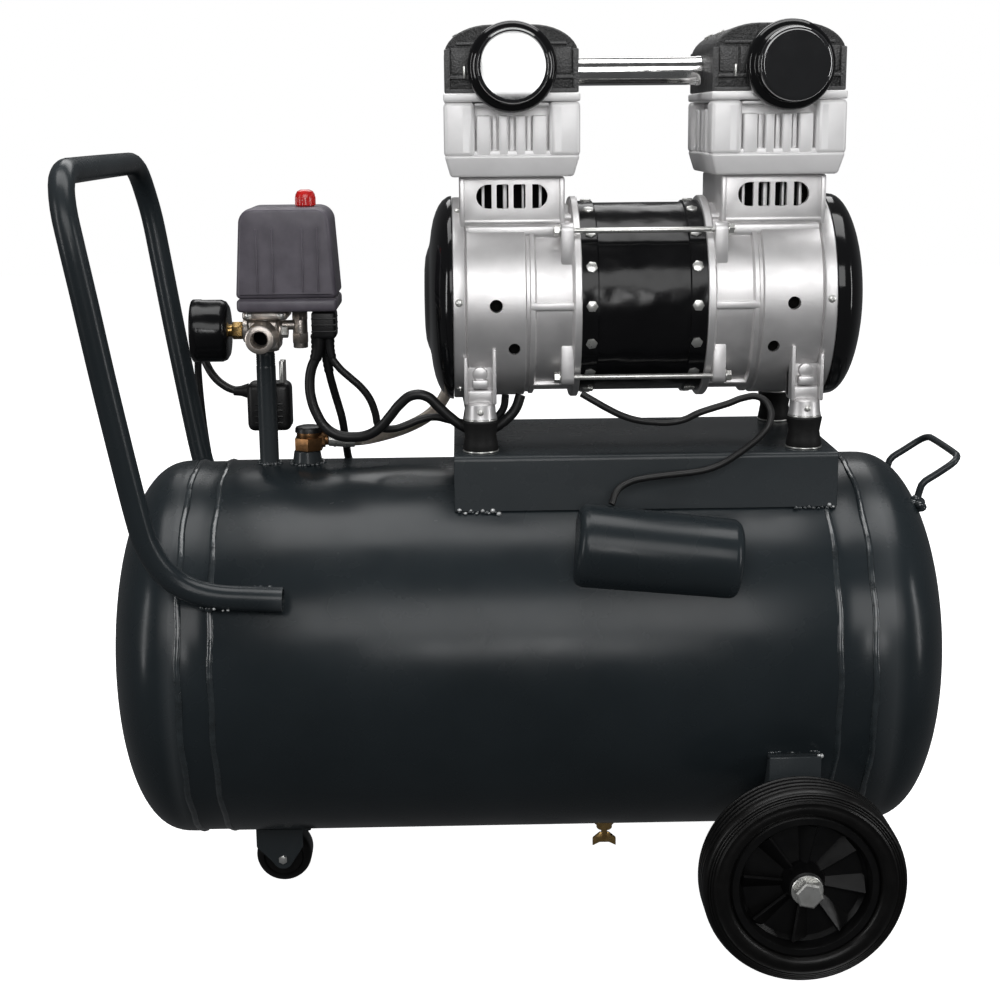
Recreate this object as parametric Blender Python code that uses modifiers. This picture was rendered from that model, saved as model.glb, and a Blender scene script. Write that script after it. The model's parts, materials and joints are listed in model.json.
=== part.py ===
"""Twin-piston air compressor on a horizontal wheeled tank.

Metres, +Z up, +X towards the wheeled end, -Y the side with the air outlet.
The origin is on the floor, under the middle of the tank.
"""

import math

import bmesh
import bpy
from mathutils import Matrix, Vector

GAP = 0.0003

# Tank
TANK_RADIUS = 0.150
TANK_Z = 0.205
TANK_HALF_LENGTH = 0.3255
TANK_CENTRE_X = -0.0045
HEAD_DEPTH = 0.058
HEAD_FULLNESS = 0.90
HEAD_FLATNESS = 0.80
TANK_WALL = 0.003
TANK_STEPS = 36
SEAM_X = TANK_HALF_LENGTH - HEAD_DEPTH

# Saddle that carries the pump
SADDLE_X = (-0.0615, 0.229)
SADDLE_HALF_WIDTH = 0.083
SADDLE_TOP_Z = 0.374
SADDLE_SKIRT = 0.043
SADDLE_THICKNESS = 0.003

# Tubes welded to the tank
HANDLE_RADIUS = 0.0092
BAIL_RADIUS = 0.0028

# Wheels and caster
WHEEL_X = 0.1895
WHEEL_RADIUS = 0.075
WHEEL_Y = 0.184
TYRE_WIDTH = 0.038
TYRE_INNER_RADIUS = 0.055
WHEEL_STEPS = 24
BOLT_RADIUS = 0.006
BOLT_END_Y = 0.215
BRACKET_Y = 0.148
BRACKET_HALF_WIDTH = 0.0195
BRACKET_THICKNESS = 0.004
CASTER_X = -0.204
CASTER_TRAIL = -0.0045
CASTER_RADIUS = 0.0232
CASTER_STEPS = 18

# Pump: the right half mirrors the left half about PUMP_X
MOTOR_Z = 0.4845
PUMP_X = 0.08265
DRUM_RADIUS = 0.076
DRUM_BORE = 0.0715
FLANGE_RADIUS = 0.078
CASE_OUTER_REACH = 0.1433
CASE_STEP_REACH = 0.1334
CASE_WAIST_REACH = 0.0856
CASE_RIM_REACH = 0.0519
CASE_INNER_REACH = 0.0471
WEB_REACH = (0.058, 0.064)
STATOR_RADIUS = 0.075
STATOR_BORE = 0.058
ROTOR_RADIUS = 0.0565
SHAFT_RADIUS = 0.008
HEAD_REACH = 0.0980
PUMP_STEPS = 24

# Cylinder stack above each crankcase
VENT_BOX_SIZE = (0.079, 0.100)
VENT_BOX_TOP = 0.579
BLOCK_SIZE = (0.100, 0.132)
BLOCK_TOP = 0.633
BLOCK_TAPER_TOP = 0.595
BORE_RADIUS = 0.027
LINER_RADIUS = 0.030
LINER_BOTTOM = 0.556
COVER_TOP = 0.688
COVER_SHOULDER = 0.670
CAP_Z = 0.6575
CAP_RADIUS = 0.0325
CAP_FACE_RADIUS = 0.0262
CAP_FRONT_Y = -0.098
THROW = 0.006
ECCENTRIC_RADIUS = 0.014

# Feet under the crankcases
FOOT_Y = 0.062
FOOT_REACH = 0.1235
MOUNT_RADIUS = 0.014
MOUNT_TOP = 0.3995

# Pressure switch group
RISER_X = -0.209
RISER_RADIUS = 0.0076
MANIFOLD_Z = 0.458
SWITCH_X = -0.188
SWITCH_BOTTOM = 0.478
SWITCH_SEAM = 0.4885
SWITCH_TOP = 0.557
PORT_RADIUS = 0.0112
PORT_BORE = 0.006
PORT_FACE_Y = -0.040
GAUGE_RADIUS = 0.0248
GAUGE_X = (-0.265, -0.236)
CHECK_X = -0.177

# Mains lead
LEAD_RADIUS = 0.00325
COIL_CENTRE = (-0.188, 0.182)
COIL_RADIUS = 0.038

# Finish: colour, roughness, metallic
FINISHES = {
    "tank_paint": ((0.022, 0.028, 0.031), 0.28, 0.3),
    "cast_aluminium": ((0.62, 0.61, 0.60), 0.38, 1.0),
    "zinc_steel": ((0.70, 0.70, 0.69), 0.30, 1.0),
    "chrome_tube": ((0.75, 0.75, 0.74), 0.12, 1.0),
    "gloss_black": ((0.008, 0.008, 0.009), 0.12, 0.0),
    "textured_black": ((0.020, 0.020, 0.021), 0.55, 0.0),
    "rubber": ((0.012, 0.012, 0.012), 0.65, 0.0),
    "hub_plastic": ((0.010, 0.010, 0.011), 0.45, 0.0),
    "switch_plastic": ((0.045, 0.043, 0.050), 0.50, 0.0),
    "red_plastic": ((0.65, 0.02, 0.015), 0.30, 0.0),
    "brass": ((0.70, 0.45, 0.16), 0.28, 1.0),
    "cable_black": ((0.010, 0.010, 0.010), 0.50, 0.0),
    "braid": ((0.45, 0.40, 0.33), 0.45, 0.8),
    "laminated_steel": ((0.25, 0.24, 0.23), 0.50, 1.0),
}

TURN_TO_AXIS = {
    "X": (0.0, math.radians(90), 0.0),
    "-X": (0.0, math.radians(-90), 0.0),
    "Y": (math.radians(-90), 0.0, 0.0),
    "-Y": (math.radians(90), 0.0, 0.0),
    "Z": (0.0, 0.0, 0.0),
}


# ---------------------------------------------------------------- helpers


def clear_scene():
    for obj in list(bpy.data.objects):
        bpy.data.objects.remove(obj, do_unlink=True)


def make_collection(name):
    collection = bpy.data.collections.new(name)
    bpy.context.scene.collection.children.link(collection)
    return collection


def make_material(name, finish):
    colour, roughness, metallic = FINISHES[finish]
    material = bpy.data.materials.new(name)
    material.use_nodes = True
    shader = material.node_tree.nodes["Principled BSDF"]
    shader.inputs["Base Color"].default_value = (*colour, 1.0)
    shader.inputs["Roughness"].default_value = roughness
    shader.inputs["Metallic"].default_value = metallic
    material.diffuse_color = (*colour, 1.0)
    return material


def add_object(name, data, finish=None):
    """A part has a finish. A helper has none, and goes with the cutters, out of the render."""
    obj = bpy.data.objects.new(name, data)
    if finish is None:
        CUTTERS.objects.link(obj)
        obj.hide_render = True
        obj.display_type = "WIRE"
    else:
        PARTS.objects.link(obj)
        obj.data.materials.append(make_material(name, finish))
    return obj


def mesh_object(name, shape, finish=None):
    mesh = bpy.data.meshes.new(name)
    bmesh.ops.recalc_face_normals(shape, faces=shape.faces)
    shape.to_mesh(mesh)
    shape.free()
    mesh.shade_smooth()
    mesh.set_sharp_from_angle(angle=math.radians(35))
    return add_object(name, mesh, finish)


def box(name, low, high, finish=None):
    size = Vector(high) - Vector(low)
    centre = (Vector(high) + Vector(low)) / 2
    shape = bmesh.new()
    bmesh.ops.create_cube(shape, size=1.0)
    bmesh.ops.scale(shape, vec=size, verts=shape.verts)
    obj = mesh_object(name, shape, finish)
    obj.location = centre
    return obj


def cylinder(name, radius, start, length, axis="Z", steps=20, finish=None, top_radius=None):
    """A cylinder, or a cone, that begins at start and runs its length along the axis."""
    shape = bmesh.new()
    top = radius if top_radius is None else top_radius
    bmesh.ops.create_cone(shape, cap_ends=True, segments=steps, radius1=radius, radius2=top, depth=length)
    bmesh.ops.translate(shape, verts=shape.verts, vec=(0, 0, length / 2))
    obj = mesh_object(name, shape, finish)
    obj.location = start
    obj.rotation_euler = TURN_TO_AXIS[axis]
    return obj


def turned(name, profile, place, axis="Z", steps=24, finish=None, closed=False):
    """Turns a profile of (radius, height) points, which runs down its outer side, about the axis."""
    mesh = bpy.data.meshes.new(name)
    edges = [(i, i + 1) for i in range(len(profile) - 1)]
    if closed:
        edges.append((len(profile) - 1, 0))
    mesh.from_pydata([(radius, 0.0, height) for radius, height in profile], edges, [])
    obj = add_object(name, mesh, finish)
    obj.location = place
    obj.rotation_euler = TURN_TO_AXIS[axis]
    screw = obj.modifiers.new("Turn", "SCREW")
    screw.steps = steps
    screw.render_steps = steps
    screw.use_merge_vertices = True
    screw.merge_threshold = 0.00001
    screw.use_smooth_shade = True
    return obj


def bevel(obj, width, segments=2, angle=40):
    modifier = obj.modifiers.new("Bevel", "BEVEL")
    modifier.width = width
    modifier.segments = segments
    modifier.limit_method = "ANGLE"
    modifier.angle_limit = math.radians(angle)
    return obj


def boolean(obj, other, operation="DIFFERENCE"):
    modifier = obj.modifiers.new(operation.title(), "BOOLEAN")
    modifier.operation = operation
    modifier.object = other
    modifier.solver = "EXACT"
    return obj


def curve_as_mesh(obj):
    """Replaces a curve object by a mesh object with its caps welded, so that it can be cut or cut with."""
    bpy.context.view_layer.update()
    graph = bpy.context.evaluated_depsgraph_get()
    mesh = bpy.data.meshes.new_from_object(obj.evaluated_get(graph))
    shape = bmesh.new()
    shape.from_mesh(mesh)
    bmesh.ops.remove_doubles(shape, verts=shape.verts, dist=0.00001)
    bmesh.ops.recalc_face_normals(shape, faces=shape.faces)
    shape.to_mesh(mesh)
    shape.free()
    name = obj.name
    matrix = obj.matrix_world.copy()
    solid = bpy.data.objects.new(name + "_mesh", mesh)
    for collection in obj.users_collection:
        collection.objects.link(solid)
    solid.hide_render = obj.hide_render
    solid.display_type = obj.display_type
    solid.matrix_world = matrix
    bpy.data.objects.remove(obj)
    solid.name = name
    return solid


def outline(name, points, thickness, place, axis="Z", finish=None):
    """A flat outline of (x, y) points, extruded to both sides of its plane by half the thickness."""
    curve = bpy.data.curves.new(name, "CURVE")
    curve.dimensions = "2D"
    curve.fill_mode = "BOTH"
    curve.extrude = thickness / 2
    spline = curve.splines.new("POLY")
    spline.points.add(len(points) - 1)
    for point, (x, y) in zip(spline.points, points):
        point.co = (x, y, 0.0, 1.0)
    spline.use_cyclic_u = True
    obj = add_object(name, curve, finish)
    obj.location = place
    obj.rotation_euler = TURN_TO_AXIS[axis]
    return curve_as_mesh(obj)


def arc(centre, radius, start, end, count):
    """Points on an arc, with the angles in degrees."""
    angles = [math.radians(start + (end - start) * i / count) for i in range(count + 1)]
    return [(centre[0] + radius * math.cos(a), centre[1] + radius * math.sin(a)) for a in angles]


def smooth_route(points, spacing):
    """Evenly spaced points on a smooth curve through the route's own points."""
    ends = [points[0] * 2 - points[1], *points, points[-1] * 2 - points[-2]]
    fine = []
    for p0, p1, p2, p3 in zip(ends, ends[1:], ends[2:], ends[3:]):
        for i in range(20):
            t = i / 20
            fine.append(
                0.5 * (2 * p1 + (p2 - p0) * t + (2 * p0 - 5 * p1 + 4 * p2 - p3) * t**2
                       + (3 * p1 - p0 - 3 * p2 + p3) * t**3)
            )
    fine.append(points[-1])
    total = sum((b - a).length for a, b in zip(fine, fine[1:]))
    count = max(2, round(total / spacing))
    step = total / count
    even = [fine[0]]
    walked = 0.0
    for a, b in zip(fine, fine[1:]):
        length = (b - a).length
        while len(even) < count and walked + length >= step * len(even):
            even.append(a.lerp(b, (step * len(even) - walked) / length))
        walked += length
    even.append(points[-1])
    return even


def tube(name, route, radius, finish, spacing, resolution=2):
    """A round tube along the smooth curve through a route, with filled ends."""
    curve = bpy.data.curves.new(name, "CURVE")
    curve.dimensions = "3D"
    curve.bevel_depth = radius
    curve.bevel_resolution = resolution
    curve.use_fill_caps = True
    points = smooth_route([Vector(p) for p in route], spacing)
    spline = curve.splines.new("POLY")
    spline.points.add(len(points) - 1)
    for point, place in zip(spline.points, points):
        point.co = (*place, 1.0)
    spline.use_smooth = True
    return add_object(name, curve, finish)


def parent_to(pivot_name, place, *children):
    """Puts pieces that move together under one empty on their joint's axis."""
    pivot = bpy.data.objects.new(pivot_name, None)
    pivot.empty_display_size = 0.02
    pivot.location = place
    PARTS.objects.link(pivot)
    for child in children:
        child.parent = pivot
        child.matrix_parent_inverse = Matrix.Translation(place).inverted()


# ------------------------------------------------------------------- tank


def dome_profile(radius, depth, base, inner, count):
    """A tank head's section from its pole to its rim, as a flattened superellipse."""
    points = []
    for i in range(count + 1):
        angle = math.radians(90 * (1 - i / count))
        across = radius * math.cos(angle) ** HEAD_FULLNESS
        points.append((across, base + depth * math.sin(angle) ** HEAD_FLATNESS))
    return points[::-1] if inner else points


def tank_end(name, side):
    outer = dome_profile(TANK_RADIUS, HEAD_DEPTH, 0.0, False, 6)
    outer[0] = (0.0, outer[0][1])
    inner = dome_profile(TANK_RADIUS - TANK_WALL, HEAD_DEPTH - TANK_WALL, 0.0, True, 3)
    inner[-1] = (0.0, inner[-1][1])
    place = (TANK_CENTRE_X + side * (SEAM_X + GAP), 0.0, TANK_Z)
    turned(name, outer + inner, place, "X" if side > 0 else "-X", TANK_STEPS, "tank_paint")


def wheel_bracket(side):
    """A channel: an outer plate beside the wheel and two webs back to the tank."""
    inner = side * (BRACKET_Y - BRACKET_THICKNESS / 2)
    outer = side * (BRACKET_Y + BRACKET_THICKNESS / 2)
    low, high = sorted((inner, outer))
    x0, x1 = WHEEL_X - BRACKET_HALF_WIDTH, WHEEL_X + BRACKET_HALF_WIDTH
    plate = box(f"bracket_plate_{side}", (x0, low, 0.055), (x1, high, 0.156))
    web_low, web_high = sorted((side * 0.130, side * BRACKET_Y))
    boolean(plate, box(f"bracket_top_{side}", (x0, web_low, 0.152), (x1, web_high, 0.156)), "UNION")
    for x in (x0 + 0.0005, x1 - 0.0045):
        web_low, web_high = sorted((side * 0.090, side * BRACKET_Y))
        web = box(f"bracket_web_{side}_{x:.3f}", (x, web_low, 0.060), (x + 0.004, web_high, 0.154))
        boolean(plate, web, "UNION")
    return plate


def tank_barrel():
    half = SEAM_X
    start = (TANK_CENTRE_X - half, 0, TANK_Z)
    barrel = cylinder("tank_barrel", TANK_RADIUS, start, 2 * half, "X", TANK_STEPS, "tank_paint")
    top = TANK_Z + TANK_RADIUS
    past = 0.01
    inside_start = (TANK_CENTRE_X - half - past, 0, TANK_Z)
    inside_length = 2 * (half + past)
    inside = cylinder("tank_inside", TANK_RADIUS - TANK_WALL, inside_start, inside_length, "X", TANK_STEPS)
    socket = cylinder("check_socket", 0.013, (CHECK_X, 0, top - 0.008), 0.018, "Z", 16, top_radius=0.0105)
    drain_boss = cylinder("drain_boss", 0.012, (0.06, 0, 0.050), 0.010, "Z", 16)
    for piece in (wheel_bracket(-1), wheel_bracket(1), socket, drain_boss):
        boolean(barrel, piece, "UNION")
    boolean(barrel, inside)
    boolean(barrel, cylinder("check_hole", 0.006, (CHECK_X, 0, top - 0.02), 0.04, "Z", 12))
    boolean(barrel, cylinder("riser_hole", 0.005, (RISER_X, 0, top - 0.02), 0.04, "Z", 12))
    boolean(barrel, cylinder("drain_hole", 0.005, (0.06, 0, 0.040), 0.03, "Z", 12))
    for side in (-1, 1):
        start = (WHEEL_X, side * 0.135, WHEEL_RADIUS)
        axis = "Y" if side > 0 else "-Y"
        boolean(barrel, cylinder(f"axle_hole_{side}", BOLT_RADIUS + GAP, start, 0.02, axis, 16))


def saddle_plate():
    """An inverted channel whose skirts stand on the tank."""
    x0, x1 = SADDLE_X
    half, top, wall = SADDLE_HALF_WIDTH, SADDLE_TOP_Z, SADDLE_THICKNESS
    plate = box("saddle_plate", (x0, -half, top - SADDLE_SKIRT), (x1, half, top), "tank_paint")
    bevel(plate, 0.003, 2)
    inside = box("saddle_inside", (x0 - 0.01, wall - half, top - 0.1), (x1 + 0.01, half - wall, top - wall))
    boolean(plate, inside)
    room = cylinder("saddle_room", TANK_RADIUS + GAP, (-0.2, 0, TANK_Z), 0.6, "X", TANK_STEPS)
    boolean(plate, room)


def push_handle():
    """A U of tube that rises from both flanks of the tank, leaning outwards."""
    side = [
        (-0.187, 0.1412, 0.2810),
        (-0.210, 0.1405, 0.2820),
        (-0.236, 0.1398, 0.2838),
        (-0.256, 0.1398, 0.2900),
        (-0.271, 0.1415, 0.3020),
        (-0.281, 0.1440, 0.3190),
        (-0.2875, 0.1465, 0.3430),
        (-0.3030, 0.1525, 0.4325),
        (-0.3140, 0.1565, 0.5020),
        (-0.3200, 0.1585, 0.5390),
        (-0.3245, 0.1550, 0.5620),
        (-0.3275, 0.1440, 0.5790),
        (-0.3290, 0.1250, 0.5870),
        (-0.3292, 0.0950, 0.5880),
    ]
    near = [(x, -y, z) for x, y, z in side]
    tube("push_handle", near + side[::-1], HANDLE_RADIUS, "tank_paint", 0.030, 2)


def lifting_bail():
    side = [
        (0.2992, 0.050, 0.3285),
        (0.3005, 0.050, 0.3350),
        (0.3035, 0.050, 0.3420),
        (0.3140, 0.050, 0.3490),
        (0.3260, 0.049, 0.3570),
        (0.3310, 0.043, 0.3605),
        (0.3325, 0.030, 0.3615),
    ]
    near = [(x, -y, z) for x, y, z in side]
    tube("lifting_bail", near + side[::-1], BAIL_RADIUS, "tank_paint", 0.009, 1)


# ----------------------------------------------------------------- wheels


def tyre(name, side):
    reach = WHEEL_RADIUS / math.cos(math.pi / WHEEL_STEPS)
    half = TYRE_WIDTH / 2
    profile = [
        (TYRE_INNER_RADIUS, half - 0.003),
        (TYRE_INNER_RADIUS + 0.008, half),
        (reach - 0.006, half - 0.001),
        (reach, half - 0.007),
        (reach, 0.007 - half),
        (reach - 0.006, 0.001 - half),
        (TYRE_INNER_RADIUS + 0.008, -half),
        (TYRE_INNER_RADIUS, 0.003 - half),
    ]
    place = (WHEEL_X, side * WHEEL_Y, WHEEL_RADIUS)
    return turned(name, profile, place, "Y", WHEEL_STEPS, "rubber", closed=True)


def wheel_hub(name, side):
    """A rim and a boss joined by a web with wedge-shaped windows."""
    rim = TYRE_INNER_RADIUS - GAP
    bore = BOLT_RADIUS + GAP
    profile = [
        (bore, 0.019),
        (0.013, 0.019),
        (0.017, 0.004),
        (0.047, 0.004),
        (0.049, 0.016),
        (rim, 0.016),
        (rim, -0.016),
        (0.049, -0.016),
        (0.047, -0.004),
        (0.017, -0.004),
        (0.013, -0.019),
        (bore, -0.019),
    ]
    place = (WHEEL_X, side * WHEEL_Y, WHEEL_RADIUS)
    hub = turned(name, profile, place, "Y", WHEEL_STEPS, "hub_plastic", closed=True)
    for i in range(6):
        middle = i * 60 + 30
        wedge = arc((0, 0), 0.043, middle - 16, middle + 16, 2)
        wedge += arc((0, 0), 0.022, middle + 12, middle - 12, 1)
        boolean(hub, outline(f"{name}_window_{i}", wedge, 0.02, place, "Y"))
    return hub


def axle_bolt(name, side):
    """A hexagon-head bolt through the wheel into its bracket."""
    axis = "Y" if side > 0 else "-Y"
    start = (WHEEL_X, side * 0.140, WHEEL_RADIUS)
    head_start = (WHEEL_X, side * (BOLT_END_Y - 0.009), WHEEL_RADIUS)
    bolt = cylinder(name, BOLT_RADIUS, start, BOLT_END_Y - 0.140 - 0.005, axis, 16, "zinc_steel")
    boolean(bolt, cylinder(f"{name}_head", 0.011, head_start, 0.009, axis, 6), "UNION")
    spacer_start = (WHEEL_X, side * (BRACKET_Y + BRACKET_THICKNESS / 2 + GAP), WHEEL_RADIUS)
    boolean(bolt, cylinder(f"{name}_spacer", 0.009, spacer_start, 0.0143, axis, 16), "UNION")


def wheels():
    for name, side in (("front", -1), ("back", 1)):
        rubber = tyre(f"tyre_{name}", side)
        hub = wheel_hub(f"wheel_hub_{name}", side)
        parent_to(f"wheel_pivot_{name}", (WHEEL_X, side * WHEEL_Y, WHEEL_RADIUS), rubber, hub)
        axle_bolt(f"axle_bolt_{name}", side)


def caster():
    """A plate under the tank, a fork that swivels on it and a trailing wheel."""
    plate_top = TANK_Z - TANK_RADIUS - GAP
    low = (CASTER_X - 0.022, -0.022, plate_top - 0.0035)
    plate = box("caster_plate", low, (CASTER_X + 0.022, 0.022, plate_top), "tank_paint")
    fork_top = plate_top - 0.0035 - GAP
    boolean(plate, cylinder("caster_pin_hole", 0.0043, (CASTER_X, 0, 0.03), 0.05, "Z", 12))
    low = (CASTER_X - 0.026, -0.020, fork_top - 0.021)
    fork = box("caster_fork", low, (CASTER_X + 0.0125, 0.020, fork_top), "tank_paint")
    boolean(fork, box("fork_inside", (-0.3, -0.0175, 0.0), (-0.1, 0.0175, fork_top - 0.003)))
    wheel_x = CASTER_X + CASTER_TRAIL
    for side_y in (-1, 1):
        y0, y1 = sorted((side_y * 0.0175, side_y * 0.020))
        ear_low = (wheel_x - 0.008, y0, CASTER_RADIUS - 0.006)
        ear_high = (wheel_x + 0.008, y1, fork_top - 0.020)
        ear = box(f"fork_ear_{side_y}", ear_low, ear_high)
        boolean(fork, ear, "UNION")
    axle = cylinder("caster_axle", 0.0035, (wheel_x, -0.0215, CASTER_RADIUS), 0.043, "Y", 12)
    boolean(fork, axle, "UNION")
    boolean(fork, cylinder("caster_pin", 0.004, (CASTER_X, 0, fork_top - 0.002), 0.005, "Z", 12), "UNION")
    reach = CASTER_RADIUS / math.cos(math.pi / CASTER_STEPS)
    profile = [
        (0.0038, 0.015), (0.012, 0.015), (0.018, 0.014), (reach, 0.008),
        (reach, -0.008), (0.018, -0.014), (0.012, -0.015), (0.0038, -0.015),
    ]
    centre = (wheel_x, 0, CASTER_RADIUS)
    wheel = turned("caster_wheel", profile, centre, "Y", CASTER_STEPS, "rubber", closed=True)
    parent_to("caster_swivel", (CASTER_X, 0, fork_top), fork)
    parent_to("caster_axis", (wheel_x, 0, CASTER_RADIUS), wheel)


# ------------------------------------------------------------------- pump


def pump_x(side, reach):
    """The X of a plane at a distance from the pump's middle: side -1 is the left half."""
    return PUMP_X + side * reach


def pump_axis(side):
    return "X" if side > 0 else "-X"


def rod_place(side_y, side_z):
    return side_y * 0.060, MOTOR_Z + side_z * 0.0550


def foot(case, name, side, side_y):
    """A cast leg down to the round pad that sits on a rubber mount."""
    x = pump_x(side, FOOT_REACH)
    y0, y1 = sorted((side_y * 0.050, side_y * 0.071))
    leg = box(f"{name}_leg_{side_y}", (x - 0.0125, y0, 0.408), (x + 0.0125, y1, 0.452))
    pad = cylinder(f"{name}_pad_{side_y}", 0.0112, (x, side_y * FOOT_Y, MOUNT_TOP + GAP), 0.011, "Z", 12)
    boolean(case, leg, "UNION")
    boolean(case, pad, "UNION")


def rod_lug(case, name, side, side_z):
    """An ear that a tie rod passes through."""
    y, z = rod_place(-1, side_z)
    x0, x1 = sorted((pump_x(side, 0.0525), pump_x(side, 0.0623)))
    low_z, high_z = sorted((z + side_z * 0.006, z - side_z * 0.028))
    boolean(case, box(f"{name}_lug_{side_z}", (x0, y - 0.006, low_z), (x1, y + 0.010, high_z)), "UNION")


def vent_slots(name, side, centre_x):
    """Four openings of a stadium-shaped grille, cut through the front and the back wall."""
    z = 0.5646
    half_height = 0.00885
    round_x = 0.0177
    left = arc((-round_x, 0), half_height, 90, 270, 4) + [(-0.0150, -half_height), (-0.0150, half_height)]
    right = [(-x, y) for x, y in left]
    slots = [left, right]
    for x in (-0.0070, 0.0055):
        slots.append([(x - 0.0045, -half_height), (x + 0.0045, -half_height),
                      (x + 0.0045, half_height), (x - 0.0045, half_height)])
    return [
        outline(f"{name}_vent_{i}", points, 0.14, (centre_x, 0, z), "Y")
        for i, points in enumerate(slots)
    ]


def crankcase(name, side):
    """A cast drum with a vented box on top, two feet and two tie-rod ears."""
    axis = pump_axis(side)
    outer, inner = CASE_OUTER_REACH, CASE_INNER_REACH
    profile = [
        (0.0, outer),
        (FLANGE_RADIUS - 0.0005, outer),
        (FLANGE_RADIUS - 0.0005, CASE_STEP_REACH),
        (DRUM_RADIUS, CASE_STEP_REACH),
        (DRUM_RADIUS, CASE_WAIST_REACH),
        (DRUM_RADIUS - 0.0025, CASE_WAIST_REACH),
        (DRUM_RADIUS - 0.0025, CASE_RIM_REACH),
        (FLANGE_RADIUS, CASE_RIM_REACH),
        (FLANGE_RADIUS, inner),
        (0.0, inner),
    ]
    case = turned(name, profile, (PUMP_X, 0, MOTOR_Z), axis, PUMP_STEPS, "cast_aluminium")
    centre_x = pump_x(side, HEAD_REACH)
    half_x, half_y = VENT_BOX_SIZE[0] / 2, VENT_BOX_SIZE[1] / 2
    box_low = (centre_x - half_x, -half_y, 0.545)
    box_high = (centre_x + half_x, half_y, VENT_BOX_TOP)
    top_box = box(f"{name}_box", box_low, box_high)
    boolean(case, top_box, "UNION")
    for side_z in (-1, 1):
        rod_lug(case, name, side, side_z)
    for side_y in (-1, 1):
        foot(case, name, side, side_y)
    bore_start = (pump_x(side, WEB_REACH[1]), 0, MOTOR_Z)
    boolean(case, cylinder(f"{name}_bore", DRUM_BORE, bore_start, 0.1, axis, PUMP_STEPS))
    pocket_start = (pump_x(side, 0.02), 0, MOTOR_Z)
    boolean(case, cylinder(f"{name}_pocket", 0.050, pocket_start, WEB_REACH[0] - 0.02, axis, 20))
    bearing_start = (pump_x(side, 0.03), 0, MOTOR_Z)
    boolean(case, cylinder(f"{name}_bearing", SHAFT_RADIUS + GAP, bearing_start, 0.05, axis, 16))
    low = (centre_x - half_x + 0.007, -half_y + 0.004, 0.520)
    high = (centre_x + half_x - 0.007, half_y - 0.004, VENT_BOX_TOP - 0.0035)
    boolean(case, box(f"{name}_box_inside", low, high))
    boolean(case, cylinder(f"{name}_liner_hole", LINER_RADIUS + GAP, (centre_x, 0, 0.560), 0.04, "Z", 20))
    for slot in vent_slots(name, side, centre_x):
        boolean(case, slot)
    upper_hole = (pump_x(side, 0.1110), -0.1, MOTOR_Z + 0.001)
    boolean(case, cylinder(f"{name}_hole_a", 0.0048, upper_hole, 0.05, "Y", 12))
    lower_hole = (pump_x(side, 0.0975), -0.1, MOTOR_Z - 0.032)
    boolean(case, cylinder(f"{name}_hole_b", 0.0044, lower_hole, 0.05, "Y", 12))
    for side_z in (-1, 1):
        y, z = rod_place(-1, side_z)
        boolean(case, cylinder(f"{name}_rod_hole_{side_z}", 0.0026, (PUMP_X - 0.08, y, z), 0.16, "X", 10))


def end_bell_left():
    """A stepped fan cover."""
    start = CASE_OUTER_REACH + GAP
    profile = [
        (0.0, 0.0220), (0.030, 0.0215), (0.056, 0.0185), (0.064, 0.0140),
        (0.077, 0.0095), (0.079, 0.0060), (0.079, 0.0),
        (0.077, 0.0), (0.077, 0.0050), (0.062, 0.0120), (0.054, 0.0165), (0.0, 0.0200),
    ]
    turned("end_bell_left", profile, (PUMP_X - start, 0, MOTOR_Z), "-X", PUMP_STEPS, "gloss_black")


def end_bell_right():
    """A smooth domed fan cover."""
    start = CASE_OUTER_REACH + GAP
    outer_turns = [math.radians(a) for a in range(0, 91, 18)]
    outer = [(0.078 * math.sin(a), 0.006 + 0.024 * math.cos(a)) for a in outer_turns]
    inner_turns = [math.radians(a) for a in range(90, -1, -30)]
    inner = [(0.076 * math.sin(a), 0.006 + 0.022 * math.cos(a)) for a in inner_turns]
    outer[0] = (0.0, outer[0][1])
    inner[-1] = (0.0, inner[-1][1])
    profile = [*outer, (0.078, 0.0), (0.076, 0.0), *inner]
    turned("end_bell_right", profile, (PUMP_X + start, 0, MOTOR_Z), "X", PUMP_STEPS, "gloss_black")


def stator():
    half = CASE_INNER_REACH - GAP
    profile = [(STATOR_RADIUS, half), (STATOR_RADIUS, -half), (STATOR_BORE, -half), (STATOR_BORE, half)]
    turned("motor_stator", profile, (PUMP_X, 0, MOTOR_Z), "X", PUMP_STEPS, "gloss_black", closed=True)


def rotor():
    """The shaft, the laminated rotor and an eccentric under each piston."""
    reach = 0.157
    start = (PUMP_X - 0.1565, 0, MOTOR_Z)
    length = 0.1565 + reach + 0.004
    shaft = cylinder("rotor_shaft", SHAFT_RADIUS, start, length, "X", 16, "laminated_steel")
    core = cylinder("rotor_core", ROTOR_RADIUS, (PUMP_X - 0.036, 0, MOTOR_Z), 0.072, "X", 24)
    boolean(shaft, core, "UNION")
    for side in (-1, 1):
        start = (pump_x(side, HEAD_REACH) - 0.009, side * THROW, MOTOR_Z)
        boolean(shaft, cylinder(f"eccentric_{side}", ECCENTRIC_RADIUS, start, 0.018, "X", 16), "UNION")
    return shaft


def cooling_fan(name, side, start_reach):
    """A flat-bladed fan pressed on the end of the shaft."""
    points = []
    for i in range(8):
        middle = i * 45
        points += arc((0, 0), 0.066, middle - 10, middle + 10, 1)
        points += arc((0, 0), 0.022, middle + 14, middle + 31, 1)
    x = pump_x(side, start_reach + 0.004)
    fan = outline(name, points, 0.008, (x, 0, MOTOR_Z), "X", "textured_black")
    boolean(fan, cylinder(f"{name}_bore", SHAFT_RADIUS + GAP, (x - 0.01, 0, MOTOR_Z), 0.02, "X", 16))
    return fan


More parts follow.
